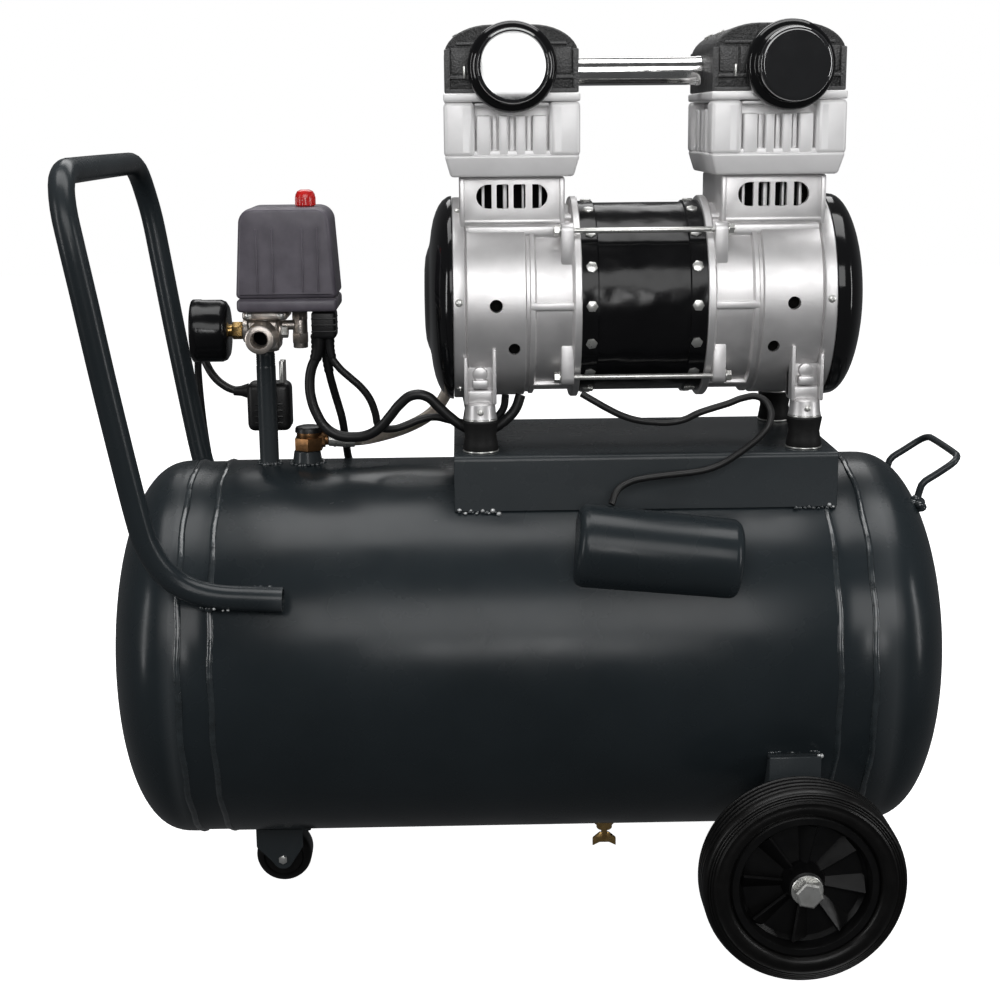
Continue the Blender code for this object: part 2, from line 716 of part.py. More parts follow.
def piston(name, side):
    """A piston and its connecting rod in one piece, with a wide ring round the eccentric."""
    x = pump_x(side, HEAD_REACH)
    ring_profile = [(0.032, 0.0075), (0.032, -0.0075), (0.0265, -0.0075), (0.0265, 0.0075)]
    piece = turned(name, ring_profile, (x, 0, MOTOR_Z), "X", 24, "cast_aluminium", closed=True)
    rod = box(f"{name}_rod", (x - 0.0055, -0.009, MOTOR_Z + 0.029), (x + 0.0055, 0.009, 0.592))
    boolean(piece, rod, "UNION")
    head = cylinder(f"{name}_head", BORE_RADIUS - 2 * GAP, (x, 0, 0.590), 0.012, "Z", 20)
    return boolean(piece, head, "UNION")


def rotating_group():
    shaft = rotor()
    fans = [cooling_fan("cooling_fan_left", -1, 0.1445), cooling_fan("cooling_fan_right", 1, 0.1475)]
    parent_to("rotor_axis", (PUMP_X, 0, MOTOR_Z), shaft, *fans)
    for name, side in (("left", -1), ("right", 1)):
        axis_place = (pump_x(side, HEAD_REACH), 0, MOTOR_Z)
        parent_to(f"piston_axis_{name}", axis_place, piston(f"piston_{name}", side))


def finned_cylinder(name, side):
    """A cast block with ribbed recesses, tapering to its lower flange, round the bored liner."""
    x = pump_x(side, HEAD_REACH)
    half_x, half_y = BLOCK_SIZE[0] / 2, BLOCK_SIZE[1] / 2
    base = VENT_BOX_TOP + GAP
    low = (x - half_x, -half_y, BLOCK_TAPER_TOP)
    high = (x + half_x, half_y, BLOCK_TOP)
    block = box(name, low, high, "cast_aluminium")
    bevel(block, 0.004, 2, 80)
    skirt_shape = bmesh.new()
    made = bmesh.ops.create_cube(skirt_shape, size=1.0)["verts"]
    for vert in made:
        inset = 0.0045 if vert.co.z < 0 else 0.0002
        vert.co.x = math.copysign(half_x - inset, vert.co.x)
        vert.co.y = math.copysign(half_y - inset, vert.co.y)
        vert.co.z = base if vert.co.z < 0 else BLOCK_TAPER_TOP + 0.001
    skirt = mesh_object(f"{name}_skirt", skirt_shape)
    skirt.location = (x, 0, 0)
    boolean(block, skirt, "UNION")
    boolean(block, cylinder(f"{name}_liner", LINER_RADIUS, (x, 0, LINER_BOTTOM), 0.05, "Z", 20), "UNION")
    boolean(block, cylinder(f"{name}_bore", BORE_RADIUS, (x, 0, 0.54), 0.12, "Z", 20))
    for side_y in (-1, 1):
        y0, y1 = sorted((side_y * (half_y - 0.012), side_y * (half_y + 0.01)))
        recess = box(f"{name}_recess_{side_y}", (x - 0.0265, y0, 0.5975), (x + 0.0265, y1, 0.6315))
        boolean(block, recess)
        for i in range(4):
            rib_x = x - 0.01965 + i * 0.0131
            r0, r1 = sorted((side_y * (half_y - 0.013), side_y * (half_y - 0.0015)))
            rib_low = (rib_x - 0.0054, r0, 0.597)
            rib_high = (rib_x + 0.0054, r1, 0.625)
            boolean(block, box(f"{name}_rib_{side_y}_{i}", rib_low, rib_high), "UNION")
    for side_x in (-1, 1):
        x0, x1 = sorted((x + side_x * (half_x - 0.009), x + side_x * (half_x + 0.01)))
        for i in range(4):
            y = -0.0345 + i * 0.023
            boolean(block, box(f"{name}_groove_{side_x}_{i}", (x0, y - 0.004, 0.5975), (x1, y + 0.004, 0.64)))


def head_cover(name, side):
    """A round-shouldered cover over the valves, on a flat base flange."""
    x = pump_x(side, HEAD_REACH)
    half_x, half_y = BLOCK_SIZE[0] / 2, BLOCK_SIZE[1] / 2
    base = BLOCK_TOP + GAP
    shoulder = COVER_TOP - COVER_SHOULDER
    width = half_x - 0.001
    corner = 0.028
    turns = [math.radians(a) for a in range(0, 91, 18)]
    corner_x, corner_z = width - corner, COVER_SHOULDER - base
    right = [(corner_x + corner * math.cos(a), corner_z + shoulder * math.sin(a)) for a in turns]
    left = [(-px, pz) for px, pz in right[::-1]]
    section = [(width, 0.0), *right, *left, (-width, 0.0)]
    cover = outline(name, section, 2 * (half_y - 0.006), (x, 0, base), "-Y", "textured_black")
    flange = box(f"{name}_flange", (x - half_x, -half_y, base), (x + half_x, half_y, base + 0.009))
    boolean(cover, flange, "UNION")
    boolean(cover, box(f"{name}_inside", (x - 0.04, -0.045, base - 0.01), (x + 0.04, 0.045, base + 0.030)))
    boolean(cover, cylinder(f"{name}_boss_hole", 0.010, (x, -half_y - 0.01, CAP_Z), 0.04, "Y", 16))


def intake_cap(name, side):
    """A stepped round cap on the front of the head cover."""
    back = -(BLOCK_SIZE[1] / 2 - 0.006 + GAP)
    depth = back - CAP_FRONT_Y
    profile = [
        (0.0, depth), (CAP_FACE_RADIUS - 0.002, depth), (CAP_FACE_RADIUS, depth - 0.002),
        (CAP_FACE_RADIUS + 0.0005, depth - 0.014), (CAP_RADIUS - 0.002, depth - 0.018),
        (CAP_RADIUS, depth - 0.021),
        (CAP_RADIUS, 0.0085), (CAP_RADIUS - 0.002, 0.0063), (0.0145, 0.0063), (0.0145, 0.0), (0.0, 0.0),
    ]
    x = pump_x(side, HEAD_REACH) + (0.0055 if side > 0 else 0.0)
    turned(name, profile, (x, back, CAP_Z), "-Y", 24, "gloss_black")


def crossover_pipe():
    start = pump_x(-1, HEAD_REACH) + BLOCK_SIZE[0] / 2 - 0.001 + GAP
    end = pump_x(1, HEAD_REACH) - BLOCK_SIZE[0] / 2 + 0.001 - GAP
    profile = [(0.011, end - start), (0.011, 0.0), (0.009, 0.0), (0.009, end - start)]
    turned("crossover_pipe", profile, (start, 0, CAP_Z - 0.0015), "X", 20, "chrome_tube", closed=True)


def tie_rods():
    for name, side_z in (("upper", 1), ("lower", -1)):
        y, z = rod_place(-1, side_z)
        cylinder(f"tie_rod_{name}", 0.0022, (PUMP_X - 0.0665, y, z), 0.133, "X", 8, "zinc_steel")


def rubber_mounts():
    for side_name, side in (("left", -1), ("right", 1)):
        for end_name, side_y in (("front", -1), ("back", 1)):
            start = (pump_x(side, FOOT_REACH), side_y * FOOT_Y, SADDLE_TOP_Z + GAP)
            height = MOUNT_TOP - SADDLE_TOP_Z - GAP
            cylinder(f"rubber_mount_{side_name}_{end_name}", MOUNT_RADIUS, start, height, "Z", 16, "rubber")


def pump():
    for name, side in (("left", -1), ("right", 1)):
        crankcase(f"crankcase_{name}", side)
        finned_cylinder(f"finned_cylinder_{name}", side)
        head_cover(f"head_cover_{name}", side)
        intake_cap(f"intake_cap_{name}", side)
    end_bell_left()
    end_bell_right()
    stator()
    rotating_group()
    crossover_pipe()
    tie_rods()
    rubber_mounts()


def capacitor_housing():
    """A half-round sheet cover across the tank's shoulder, open towards the tank."""
    length, radius = 0.123, 0.0315
    section = arc((0, 0), radius, 0, 180, 8)
    section = [(radius, -0.030), *section, (-radius, -0.030)]
    inner = [(px * 0.93, pz - 0.002) for px, pz in section]
    height_angle = math.radians(41.5)
    tilt = Matrix.Rotation(math.radians(7), 4, "Y")
    lean = Matrix.Rotation(math.radians(90) - height_angle, 4, "X")
    seat_z = TANK_Z + TANK_RADIUS * math.sin(height_angle)
    seat = (0.089, -TANK_RADIUS * math.cos(height_angle), seat_z)
    place = Matrix.Translation(seat)
    stand = Matrix.Rotation(math.radians(90), 4, "Z") @ Matrix.Rotation(math.radians(90), 4, "X")
    cover = outline("capacitor_housing", section, length, (0, 0, 0), "Z", "tank_paint")
    hollow = outline("capacitor_room", inner, length - 0.004, (0, 0, 0), "Z")
    for piece in (cover, hollow):
        piece.matrix_world = place @ tilt @ lean @ stand
    boolean(cover, hollow)
    room = cylinder("capacitor_tank_room", TANK_RADIUS + GAP, (-0.1, 0, TANK_Z), 0.4, "X", TANK_STEPS)
    boolean(cover, room)


# --------------------------------------------------- pressure switch group


def riser_pipe():
    start = TANK_Z + TANK_RADIUS + GAP
    profile_top = MANIFOLD_Z - 0.013 - GAP
    length = profile_top - start
    profile = [(RISER_RADIUS, length), (RISER_RADIUS, 0.0), (0.005, 0.0), (0.005, length)]
    turned("riser_pipe", profile, (RISER_X, 0, start), "Z", 16, "tank_paint", closed=True)


def manifold():
    """A cast block with the threaded outlet, the gauge's brass stem and a flange under the switch."""
    x, z = RISER_X, MANIFOLD_Z
    low = (x - 0.014, -0.014, z - 0.013)
    high = (x + 0.014, 0.018, z + 0.013)
    block = box("pressure_manifold", low, high, "cast_aluminium")
    bevel(block, 0.002, 1)
    flange = box("manifold_flange", (x - 0.016, -0.020, z + 0.012), (x + 0.0205, 0.020, SWITCH_BOTTOM - GAP))
    nozzle = cylinder("manifold_nozzle", PORT_RADIUS, (x, PORT_FACE_Y, z), 0.035, "Y", 20)
    stem = cylinder("gauge_stem", 0.007, (GAUGE_X[1] + GAP, 0, z + 0.003), x - 0.010 - GAUGE_X[1], "X", 6)
    for piece in (flange, nozzle, stem):
        boolean(block, piece, "UNION")
    boolean(block, cylinder("outlet_bore", PORT_BORE, (x, PORT_FACE_Y - 0.01, z), 0.036, "Y", 16))


def pressure_gauge():
    """A round case that faces the handle, with its needle in front of the dial."""
    depth = GAUGE_X[1] - GAUGE_X[0]
    radius = GAUGE_RADIUS
    profile = [
        (0.0, 0.004), (radius - 0.003, 0.004), (radius - 0.003, 0.0), (radius - 0.001, 0.0), (radius, 0.003),
        (radius, depth - 0.002), (radius - 0.002, depth), (0.0, depth),
    ]
    place = (GAUGE_X[0], 0, MANIFOLD_Z + 0.003)
    turned("gauge_case", profile[::-1], place, "X", 24, "gloss_black")
    outline_points = [(-0.006, 0.0012), (-0.006, -0.0012), (0.016, -0.0004), (0.016, 0.0004)]
    needle_place = (GAUGE_X[0] + 0.0028, 0, MANIFOLD_Z + 0.003)
    needle = outline("gauge_needle", outline_points, 0.0008, needle_place, "X", "red_plastic")
    parent_to("needle_axis", needle_place, needle)


def pressure_switch():
    """A base plate with a tapered round-topped cover, a pull knob and the cable gland."""
    x = SWITCH_X
    low = (x - 0.0385, -0.030, SWITCH_BOTTOM)
    high = (x + 0.0385, 0.030, SWITCH_SEAM - GAP)
    base = box("switch_base", low, high, "switch_plastic")
    bevel(base, 0.004, 2, 80)
    height = SWITCH_TOP - SWITCH_SEAM
    corner = 0.011
    right = arc((0.035 - corner, height - corner), corner, 0, 90, 5)
    section = [(0.0385, 0.0), *right, *[(-px, pz) for px, pz in right[::-1]], (-0.0385, 0.0)]
    cover = outline("switch_cover", section, 0.062, (x, 0, SWITCH_SEAM), "-Y", "switch_plastic")
    inside_low = (x - 0.033, -0.028, SWITCH_SEAM - 0.01)
    inside_high = (x + 0.033, 0.028, SWITCH_TOP - 0.006)
    boolean(cover, box("switch_inside", inside_low, inside_high))
    knob_place = (-0.173, -0.008, SWITCH_TOP + GAP)
    boolean(cover, cylinder("knob_hole", 0.0045, (-0.173, -0.008, SWITCH_TOP - 0.02), 0.04, "Z", 12))
    knob_profile = [
        (0.0, 0.0125), (0.005, 0.012), (0.008, 0.009), (0.008, 0.0),
        (0.004, 0.0), (0.004, -0.014), (0.0, -0.014),
    ]
    knob = turned("switch_knob", knob_profile, knob_place, "Z", 16, "red_plastic")
    parent_to("knob_axis", knob_place, knob)
    low = (-0.1705, -0.022, 0.456)
    high = (-0.1515, 0.002, SWITCH_BOTTOM - GAP)
    gland = box("cable_gland", low, high, "textured_black")
    bevel(gland, 0.003, 2)


def unloader_valve():
    """A small elbow between the manifold and the switch that vents the delivery line."""
    body = cylinder("unloader_valve", 0.0068, (-0.181, 0, 0.447), 0.030, "Z", 12, "zinc_steel")
    arm = cylinder("unloader_arm", 0.004, (RISER_X + 0.014 + GAP, 0, 0.465), 0.012, "X", 12)
    boolean(body, arm, "UNION")


def safety_valve():
    """A relief valve behind the manifold, with a pull ring on its end."""
    start = (RISER_X, 0.018 + GAP, MANIFOLD_Z)
    profile = [
        (0.0, 0.028), (0.005, 0.028), (0.0065, 0.025), (0.0065, 0.010), (0.008, 0.009),
        (0.008, 0.003), (0.006, 0.002), (0.006, 0.0), (0.0, 0.0),
    ]
    valve = turned("safety_valve", profile, start, "Y", 16, "brass")
    boolean(valve, cylinder("safety_stem_hole", 0.0020, (RISER_X, 0.030, MANIFOLD_Z), 0.03, "Y", 10))
    ring_profile = [(0.0095, 0.0011), (0.0106, 0.0), (0.0095, -0.0011), (0.0084, 0.0)]
    ring_y = 0.018 + 0.028 + 0.0125
    centre = (RISER_X, ring_y, MANIFOLD_Z)
    ring = turned("safety_ring", ring_profile, centre, "X", 16, "zinc_steel", closed=True)
    boolean(ring, cylinder("safety_stem", 0.0016, (RISER_X, 0.036, MANIFOLD_Z), 0.0145, "Y", 10), "UNION")
    parent_to("safety_pull", (RISER_X, ring_y, MANIFOLD_Z), ring)


def check_valve():
    """A hexagonal body in the tank's socket, with a side nipple for the delivery hose."""
    start = TANK_Z + TANK_RADIUS + 0.010 + GAP
    body = cylinder("check_valve", 0.0125, (CHECK_X, 0, start), 0.013, "Z", 6, "brass")
    boolean(body, cylinder("check_top", 0.0100, (CHECK_X, 0, start + 0.012), 0.010, "Z", 16), "UNION")
    boolean(body, cylinder("check_nipple", 0.0055, (CHECK_X, 0, start + 0.0085), 0.0155, "X", 12), "UNION")


def drain_valve():
    """A drain cock under the tank, with a wing that turns."""
    top = 0.050 - GAP
    cock = cylinder("drain_valve", 0.008, (0.06, 0, top - 0.012), 0.012, "Z", 6, "brass")
    boolean(cock, cylinder("drain_stem_hole", 0.003, (0.06, 0, top - 0.02), 0.016, "Z", 10))
    wing = box("drain_wing", (0.05, -0.0015, 0.022), (0.07, 0.0015, top - 0.012 - GAP), "brass")
    boolean(wing, cylinder("drain_stem", 0.0027, (0.06, 0, 0.030), 0.014, "Z", 10), "UNION")
    parent_to("drain_axis", (0.06, 0, 0.034), wing)


# ----------------------------------------------------------------- cables


def delivery_hose():
    route = [
        (-0.1610, 0.000, 0.3738),
        (-0.1430, 0.001, 0.3725),
        (-0.1260, 0.006, 0.3735),
        (-0.1000, 0.018, 0.3790),
        (-0.0790, 0.030, 0.3890),
        (-0.0665, 0.045, 0.4050),
        (-0.0640, 0.064, 0.4230),
        (-0.0620, 0.084, 0.4480),
        (-0.0540, 0.096, 0.4900),
        (-0.0440, 0.100, 0.5500),
        (-0.0400, 0.100, 0.6050),
        (-0.0400, 0.096, 0.6380),
        (-0.0400, 0.085, 0.6570),
        (-0.0400, 0.072, 0.6610),
        (-0.0400, 0.0609, 0.6610),
    ]
    tube("delivery_hose", route, 0.0048, "braid", 0.018, 2)


def pump_cable():
    route = [
        (-0.1660, -0.0150, 0.4550),
        (-0.1670, -0.0150, 0.4450),
        (-0.1725, -0.0150, 0.4300),
        (-0.1735, -0.0155, 0.4130),
        (-0.1690, -0.0170, 0.3975),
        (-0.1630, -0.0180, 0.3870),
        (-0.1500, -0.0200, 0.3795),
        (-0.1305, -0.0220, 0.3800),
        (-0.1165, -0.0250, 0.3890),
        (-0.1035, -0.0280, 0.4050),
        (-0.0877, -0.0300, 0.4140),
        (-0.0738, -0.0300, 0.4040),
        (-0.0573, -0.0300, 0.3895),
        (-0.0400, -0.0300, 0.3830),
        (-0.0240, -0.0300, 0.3900),
        (-0.0130, -0.0290, 0.4010),
        (-0.0090, -0.0280, 0.4117),
    ]
    tube("pump_cable", route, 0.0040, "cable_black", 0.014, 2)


def motor_cable():
    route = [
        (0.0345, -0.0790, 0.4200),
        (0.0420, -0.0810, 0.4160),
        (0.0498, -0.0815, 0.4110),
        (0.0708, -0.0810, 0.4010),
        (0.0925, -0.0800, 0.3975),
        (0.1090, -0.0800, 0.3985),
        (0.1240, -0.0810, 0.4050),
        (0.1445, -0.0820, 0.4115),
        (0.1600, -0.0840, 0.4170),
        (0.1700, -0.0880, 0.4155),
        (0.1745, -0.0920, 0.4080),
        (0.1735, -0.0950, 0.3980),
        (0.1665, -0.0960, 0.3885),
        (0.1540, -0.0950, 0.3780),
        (0.1380, -0.0940, 0.3675),
        (0.1220, -0.0940, 0.3625),
        (0.0970, -0.0950, 0.3600),
        (0.0800, -0.0960, 0.3580),
        (0.0645, -0.0990, 0.3540),
        (0.0575, -0.1025, 0.3465),
        (0.0553, -0.1058, 0.3408),
    ]
    tube("motor_cable", route, 0.0026, "cable_black", 0.012, 2)


def mains_lead():
    """The lead from the gland over the tank to its coil on the floor, and from there up to the plug."""
    round_tank = TANK_RADIUS + LEAD_RADIUS + 0.0012
    over = [
        (-0.150, round_tank * math.sin(math.radians(a)), TANK_Z + round_tank * math.cos(math.radians(a)))
        for a in range(19, 92, 12)
    ]
    down = [
        (-0.1605, -0.0060, 0.4550),
        (-0.1603, -0.0058, 0.4420),
        (-0.1590, -0.0030, 0.4270),
        (-0.1555, 0.0060, 0.4080),
        (-0.1515, 0.0160, 0.3880),
        (-0.1500, 0.0290, 0.3680),
        *over,
        (-0.150, 0.1555, 0.140),
        (-0.150, 0.1560, 0.080),
        (-0.150, 0.1575, 0.050),
        (-0.150, 0.1640, 0.028),
        (-0.150, 0.1740, 0.0170),
        (-0.150, 0.1820, 0.0163),
    ]
    tube("mains_lead_down", down, LEAD_RADIUS, "cable_black", 0.019, 2)
    up = [
        (-0.188, 0.2200, 0.0163),
        (-0.200, 0.2200, 0.0175),
        (-0.220, 0.2140, 0.0240),
        (-0.240, 0.2020, 0.0450),
        (-0.254, 0.1880, 0.0800),
        (-0.262, 0.1780, 0.1300),
        (-0.268, 0.1730, 0.2000),
        (-0.277, 0.1720, 0.2800),
        (-0.286, 0.1720, 0.3500),
        (-0.289, 0.1710, 0.4050),
        (-0.286, 0.1660, 0.4300),
        (-0.283, 0.1500, 0.4480),
        (-0.278, 0.1180, 0.4560),
        (-0.272, 0.0750, 0.4540),
        (-0.266, 0.0420, 0.4440),
        (-0.2605, 0.0290, 0.4320),
        (-0.2520, 0.0250, 0.4190),
        (-0.2400, 0.0240, 0.4110),
        (-0.2286, 0.0240, 0.4095),
    ]
    tube("mains_lead_up", up, LEAD_RADIUS, "cable_black", 0.019, 2)
    profile = [(0.0480, 0.0128), (0.0480, 0.0), (0.0280, 0.0), (0.0280, 0.0128)]
    turned("mains_lead_coil", profile, (*COIL_CENTRE, 0.0), "Z", 28, "cable_black", closed=True)


def mains_plug():
    """A moulded plug that is tied behind the riser, its pins up."""
    plug = box("mains_plug", (-0.2270, 0.0115, 0.378), (-0.1920, 0.0365, 0.4165), "textured_black")
    bevel(plug, 0.004, 2)
    for y in (0.019, 0.029):
        pin = cylinder(f"plug_pin_{y:.3f}", 0.0024, (-0.1985, y, 0.412), 0.022, "Z", 10)
        boolean(plug, pin, "UNION")


def pressure_group():
    riser_pipe()
    manifold()
    pressure_gauge()
    pressure_switch()
    unloader_valve()
    safety_valve()
    check_valve()


def cables():
    delivery_hose()
    pump_cable()
    motor_cable()
    mains_lead()
    mains_plug()


clear_scene()
PARTS = make_collection("air_compressor")
CUTTERS = make_collection("cutters")
tank_barrel()
tank_end("tank_end_left", -1)
tank_end("tank_end_right", 1)
saddle_plate()
push_handle()
lifting_bail()
wheels()
caster()
pump()
capacitor_housing()
pressure_group()
drain_valve()
cables()
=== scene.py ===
"""Looks of a twin-piston air compressor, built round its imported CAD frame.

Metres, +Z up, +X towards the wheeled end, -Y the side with the air outlet.
Every piece rides a CAD body and takes its place from the CAD nodes' boxes.
"""

import json
import logging
import math
import random
from dataclasses import dataclass, field
from enum import Enum, auto
from typing import Iterable, Sequence

import bmesh
import bpy
from mathutils import Matrix, Vector

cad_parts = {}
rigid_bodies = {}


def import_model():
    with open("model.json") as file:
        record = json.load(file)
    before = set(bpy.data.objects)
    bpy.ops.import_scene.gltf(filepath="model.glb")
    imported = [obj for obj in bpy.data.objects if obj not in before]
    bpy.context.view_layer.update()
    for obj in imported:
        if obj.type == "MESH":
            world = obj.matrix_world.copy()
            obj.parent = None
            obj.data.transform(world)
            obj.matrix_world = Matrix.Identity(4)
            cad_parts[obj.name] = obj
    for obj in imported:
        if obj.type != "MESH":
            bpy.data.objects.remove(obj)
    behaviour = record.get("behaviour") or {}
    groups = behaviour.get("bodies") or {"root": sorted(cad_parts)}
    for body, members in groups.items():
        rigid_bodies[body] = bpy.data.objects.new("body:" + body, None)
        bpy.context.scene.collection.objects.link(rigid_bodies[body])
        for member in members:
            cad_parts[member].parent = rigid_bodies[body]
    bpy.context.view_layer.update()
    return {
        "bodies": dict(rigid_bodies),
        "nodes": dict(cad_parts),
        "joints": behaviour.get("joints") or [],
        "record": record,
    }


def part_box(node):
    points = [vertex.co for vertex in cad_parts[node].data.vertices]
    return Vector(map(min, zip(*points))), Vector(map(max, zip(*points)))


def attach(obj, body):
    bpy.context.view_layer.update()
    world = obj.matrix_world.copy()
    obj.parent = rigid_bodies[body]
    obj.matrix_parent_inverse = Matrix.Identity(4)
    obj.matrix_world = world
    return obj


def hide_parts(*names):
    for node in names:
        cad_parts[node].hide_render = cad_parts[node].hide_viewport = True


log = logging.getLogger("air_compressor")

Point = tuple[float, float, float]
Flat = tuple[float, float]
Colour = tuple[float, float, float]
Spot = Sequence[float]
Mesh = bmesh.types.BMesh
Piece = bpy.types.Object
Socket = bpy.types.NodeSocket

TURN = 2 * math.pi
X_AXIS = Vector((1, 0, 0))
Y_AXIS = Vector((0, 1, 0))
Z_AXIS = Vector((0, 0, 1))


# ---------------------------------------------------------------- finishes


class Relief(Enum):
    """The fine relief that a finish shows up close."""

    GRAIN = auto()
    CRINKLE = auto()
    BRUSHED = auto()
    BRAID = auto()
    LAYERS = auto()


@dataclass(frozen=True)
class Finish:
    """A surface finish, made into a node material the first time it is used."""

    name: str
    colour: Colour
    tint: Colour
    roughness: Flat
    metallic: float = 0.0
    mottle: float = 30.0
    relief: Relief = Relief.GRAIN
    grain: float = 900.0
    strength: float = 0.2
    depth: float = 0.0002
    wave: float = 0.0
    wave_scale: float = 14.0
    wave_depth: float = 0.004
    coat: float = 0.0
    coat_roughness: float = 0.08
    ior: float = 1.5
    specular: float = 0.5
    # How far sharp outer edges are lightened: part edge wear, part painted edge highlight.
    edge_wear_and_highlight: float = 0.0
    glow: float = 0.0

    def material(self) -> bpy.types.Material:
        """The finish's material, made once and shared by its pieces."""
        found = bpy.data.materials.get(self.name)
        return found or FinishNodes(self).build()


class FinishNodes:
    """Builds the node tree of one finish."""

    def __init__(self, finish: Finish) -> None:
        """Starts an empty material for a finish."""
        self.finish = finish
        self.result = bpy.data.materials.new(finish.name)
        self.result.use_nodes = True
        self.tree = self.result.node_tree
        self.shader = self.tree.nodes["Principled BSDF"]
        self.place = self.add("ShaderNodeTexCoord").outputs["Object"]

    def add(self, kind: str, **inputs: float) -> bpy.types.Node:
        """Adds a node and sets its named inputs.

        Args:
            kind: The node's type name.
            inputs: Socket values, with spaces in a name written as underscores.

        Returns:
            The new node.
        """
        node = self.tree.nodes.new(kind)
        for key, value in inputs.items():
            node.inputs[key.replace("_", " ")].default_value = value
        return node

    def link(self, source: Socket, target: Socket) -> None:
        """Joins two sockets."""
        self.tree.links.new(source, target)

    def noise(self, scale: float, detail: float = 3.0, stretch: Point = (1, 1, 1)) -> Socket:
        """A noise value over the piece.

        Args:
            scale: Features for each metre.
            detail: Octaves of finer noise.
            stretch: Scale along each axis.

        Returns:
            The noise factor's socket.
        """
        node = self.add("ShaderNodeTexNoise", Scale=scale, Detail=detail, Roughness=0.55)
        mapping = self.add("ShaderNodeMapping")
        mapping.inputs["Scale"].default_value = stretch
        self.link(self.place, mapping.inputs["Vector"])
        self.link(mapping.outputs["Vector"], node.inputs["Vector"])
        return node.outputs["Fac"]

    def remap(self, value: Socket, source: Flat, target: Flat) -> Socket:
        """Maps a value from one range to another.

        Args:
            value: The socket that is read.
            source: Its low and high end.
            target: What those ends become.

        Returns:
            The mapped value's socket.
        """
        node = self.tree.nodes.new("ShaderNodeMapRange")
        self.link(value, node.inputs[0])
        for i, number in enumerate((*source, *target)):
            node.inputs[i + 1].default_value = number
        return node.outputs[0]

    def mix(self, factor: Socket, low: Colour | Socket, high: Colour) -> Socket:
        """Mixes two colours.

        Args:
            factor: The share of the high colour.
            low: A colour, or the socket that gives one.
            high: A colour.

        Returns:
            The mixed colour's socket.
        """
        node = self.tree.nodes.new("ShaderNodeMix")
        node.data_type = "RGBA"
        self.link(factor, node.inputs["Factor"])
        sockets = {socket.name: socket for socket in node.inputs if socket.type == "RGBA"}
        if isinstance(low, tuple):
            sockets["A"].default_value = (*low, 1.0)
        else:
            self.link(low, sockets["A"])
        sockets["B"].default_value = (*high, 1.0)
        return next(socket for socket in node.outputs if socket.type == "RGBA")

    def relief_height(self) -> Socket:
        """The height of the finish's fine relief."""
        finish = self.finish
        if finish.relief is Relief.CRINKLE:
            cells = self.add("ShaderNodeTexVoronoi", Scale=finish.grain)
            self.link(self.place, cells.inputs["Vector"])
            return self.remap(cells.outputs["Distance"], (0.0, 0.9), (0.0, 1.0))
        if finish.relief is Relief.BRUSHED:
            return self.noise(finish.grain, 2.0, (1.0, 0.06, 1.0))
        if finish.relief is Relief.BRAID:
            return self.braid_height()
        if finish.relief is Relief.LAYERS:
            wave = self.add("ShaderNodeTexWave", Scale=finish.grain, Distortion=0.0)
            self.link(self.place, wave.inputs["Vector"])
            return wave.outputs["Fac"]
        return self.noise(finish.grain)

    def braid_height(self) -> Socket:
        """The height of strands that cross over a sleeve, on the piece's own UV map."""
        coordinates = self.add("ShaderNodeTexCoord").outputs["UV"]
        heights = []
        for turn in (math.pi / 4, -math.pi / 4):
            mapping = self.add("ShaderNodeMapping")
            mapping.inputs["Rotation"].default_value = (0, 0, turn)
            wave = self.add("ShaderNodeTexWave", Scale=self.finish.grain, Distortion=0.0)
            self.link(coordinates, mapping.inputs["Vector"])
            self.link(mapping.outputs["Vector"], wave.inputs["Vector"])
            heights.append(wave.outputs["Fac"])
        weave = self.tree.nodes.new("ShaderNodeMath")
        weave.operation = "MAXIMUM"
        self.link(heights[0], weave.inputs[0])
        self.link(heights[1], weave.inputs[1])
        return weave.outputs[0]

    def bump(self, height: Socket, strength: float, depth: float, under: Socket | None) -> Socket:
        """A bump over another.

        Args:
            height: The relief's height.
            strength: How much of it shows.
            depth: Its full depth in metres.
            under: The normal of a coarser bump below it.

        Returns:
            The bumped normal's socket.
        """
        node = self.add("ShaderNodeBump", Strength=strength, Distance=depth)
        self.link(height, node.inputs["Height"])
        if under is not None:
            self.link(under, node.inputs["Normal"])
        return node.outputs["Normal"]

    def build(self) -> bpy.types.Material:
        """Makes the colour, roughness and relief, and returns the material."""
        finish = self.finish
        shader = self.shader.inputs
        patches = self.remap(self.noise(finish.mottle, 5.0), (0.35, 0.68), (0.0, 1.0))
        colour = self.mix(patches, finish.colour, finish.tint)
        height = self.relief_height()
        if finish.relief is not Relief.GRAIN:
            # Painted shade: the low parts of the fine relief are darkened towards a third of the colour, as
            # if shade lay in them.
            hollow_shade = self.remap(height, (0.0, 0.6), (0.75, 0.0))
            colour = self.mix(hollow_shade, colour, tuple(0.35 * c for c in finish.colour))
        # Edge wear and painted edge highlight: edges picked out by pointiness are lightened.
        if finish.edge_wear_and_highlight > 0:
            edge = self.remap(
                self.add("ShaderNodeNewGeometry").outputs["Pointiness"], (0.52, 0.62), (0.0, finish.edge_wear_and_highlight),
            )
            colour = self.mix(edge, colour, tuple(min(1.0, 0.25 + 2.2 * c) for c in finish.colour))
        self.link(colour, shader["Base Color"])
        smudges = self.remap(self.noise(finish.mottle * 2.3, 4.0), (0.3, 0.7), finish.roughness)
        self.link(smudges, shader["Roughness"])
        normal = None
        if finish.wave > 0:
            normal = self.bump(self.noise(finish.wave_scale, 1.0), finish.wave, finish.wave_depth, None)
        self.link(self.bump(height, finish.strength, finish.depth, normal), shader["Normal"])
        shader["Metallic"].default_value = finish.metallic
        shader["IOR"].default_value = finish.ior
        shader["Specular IOR Level"].default_value = finish.specular
        shader["Coat Weight"].default_value = finish.coat
        shader["Coat Roughness"].default_value = finish.coat_roughness
        if finish.glow > 0:
            shader["Emission Color"].default_value = (*finish.colour, 1.0)
            shader["Emission Strength"].default_value = finish.glow
        self.result.diffuse_color = (*finish.colour, 1.0)
        return self.result


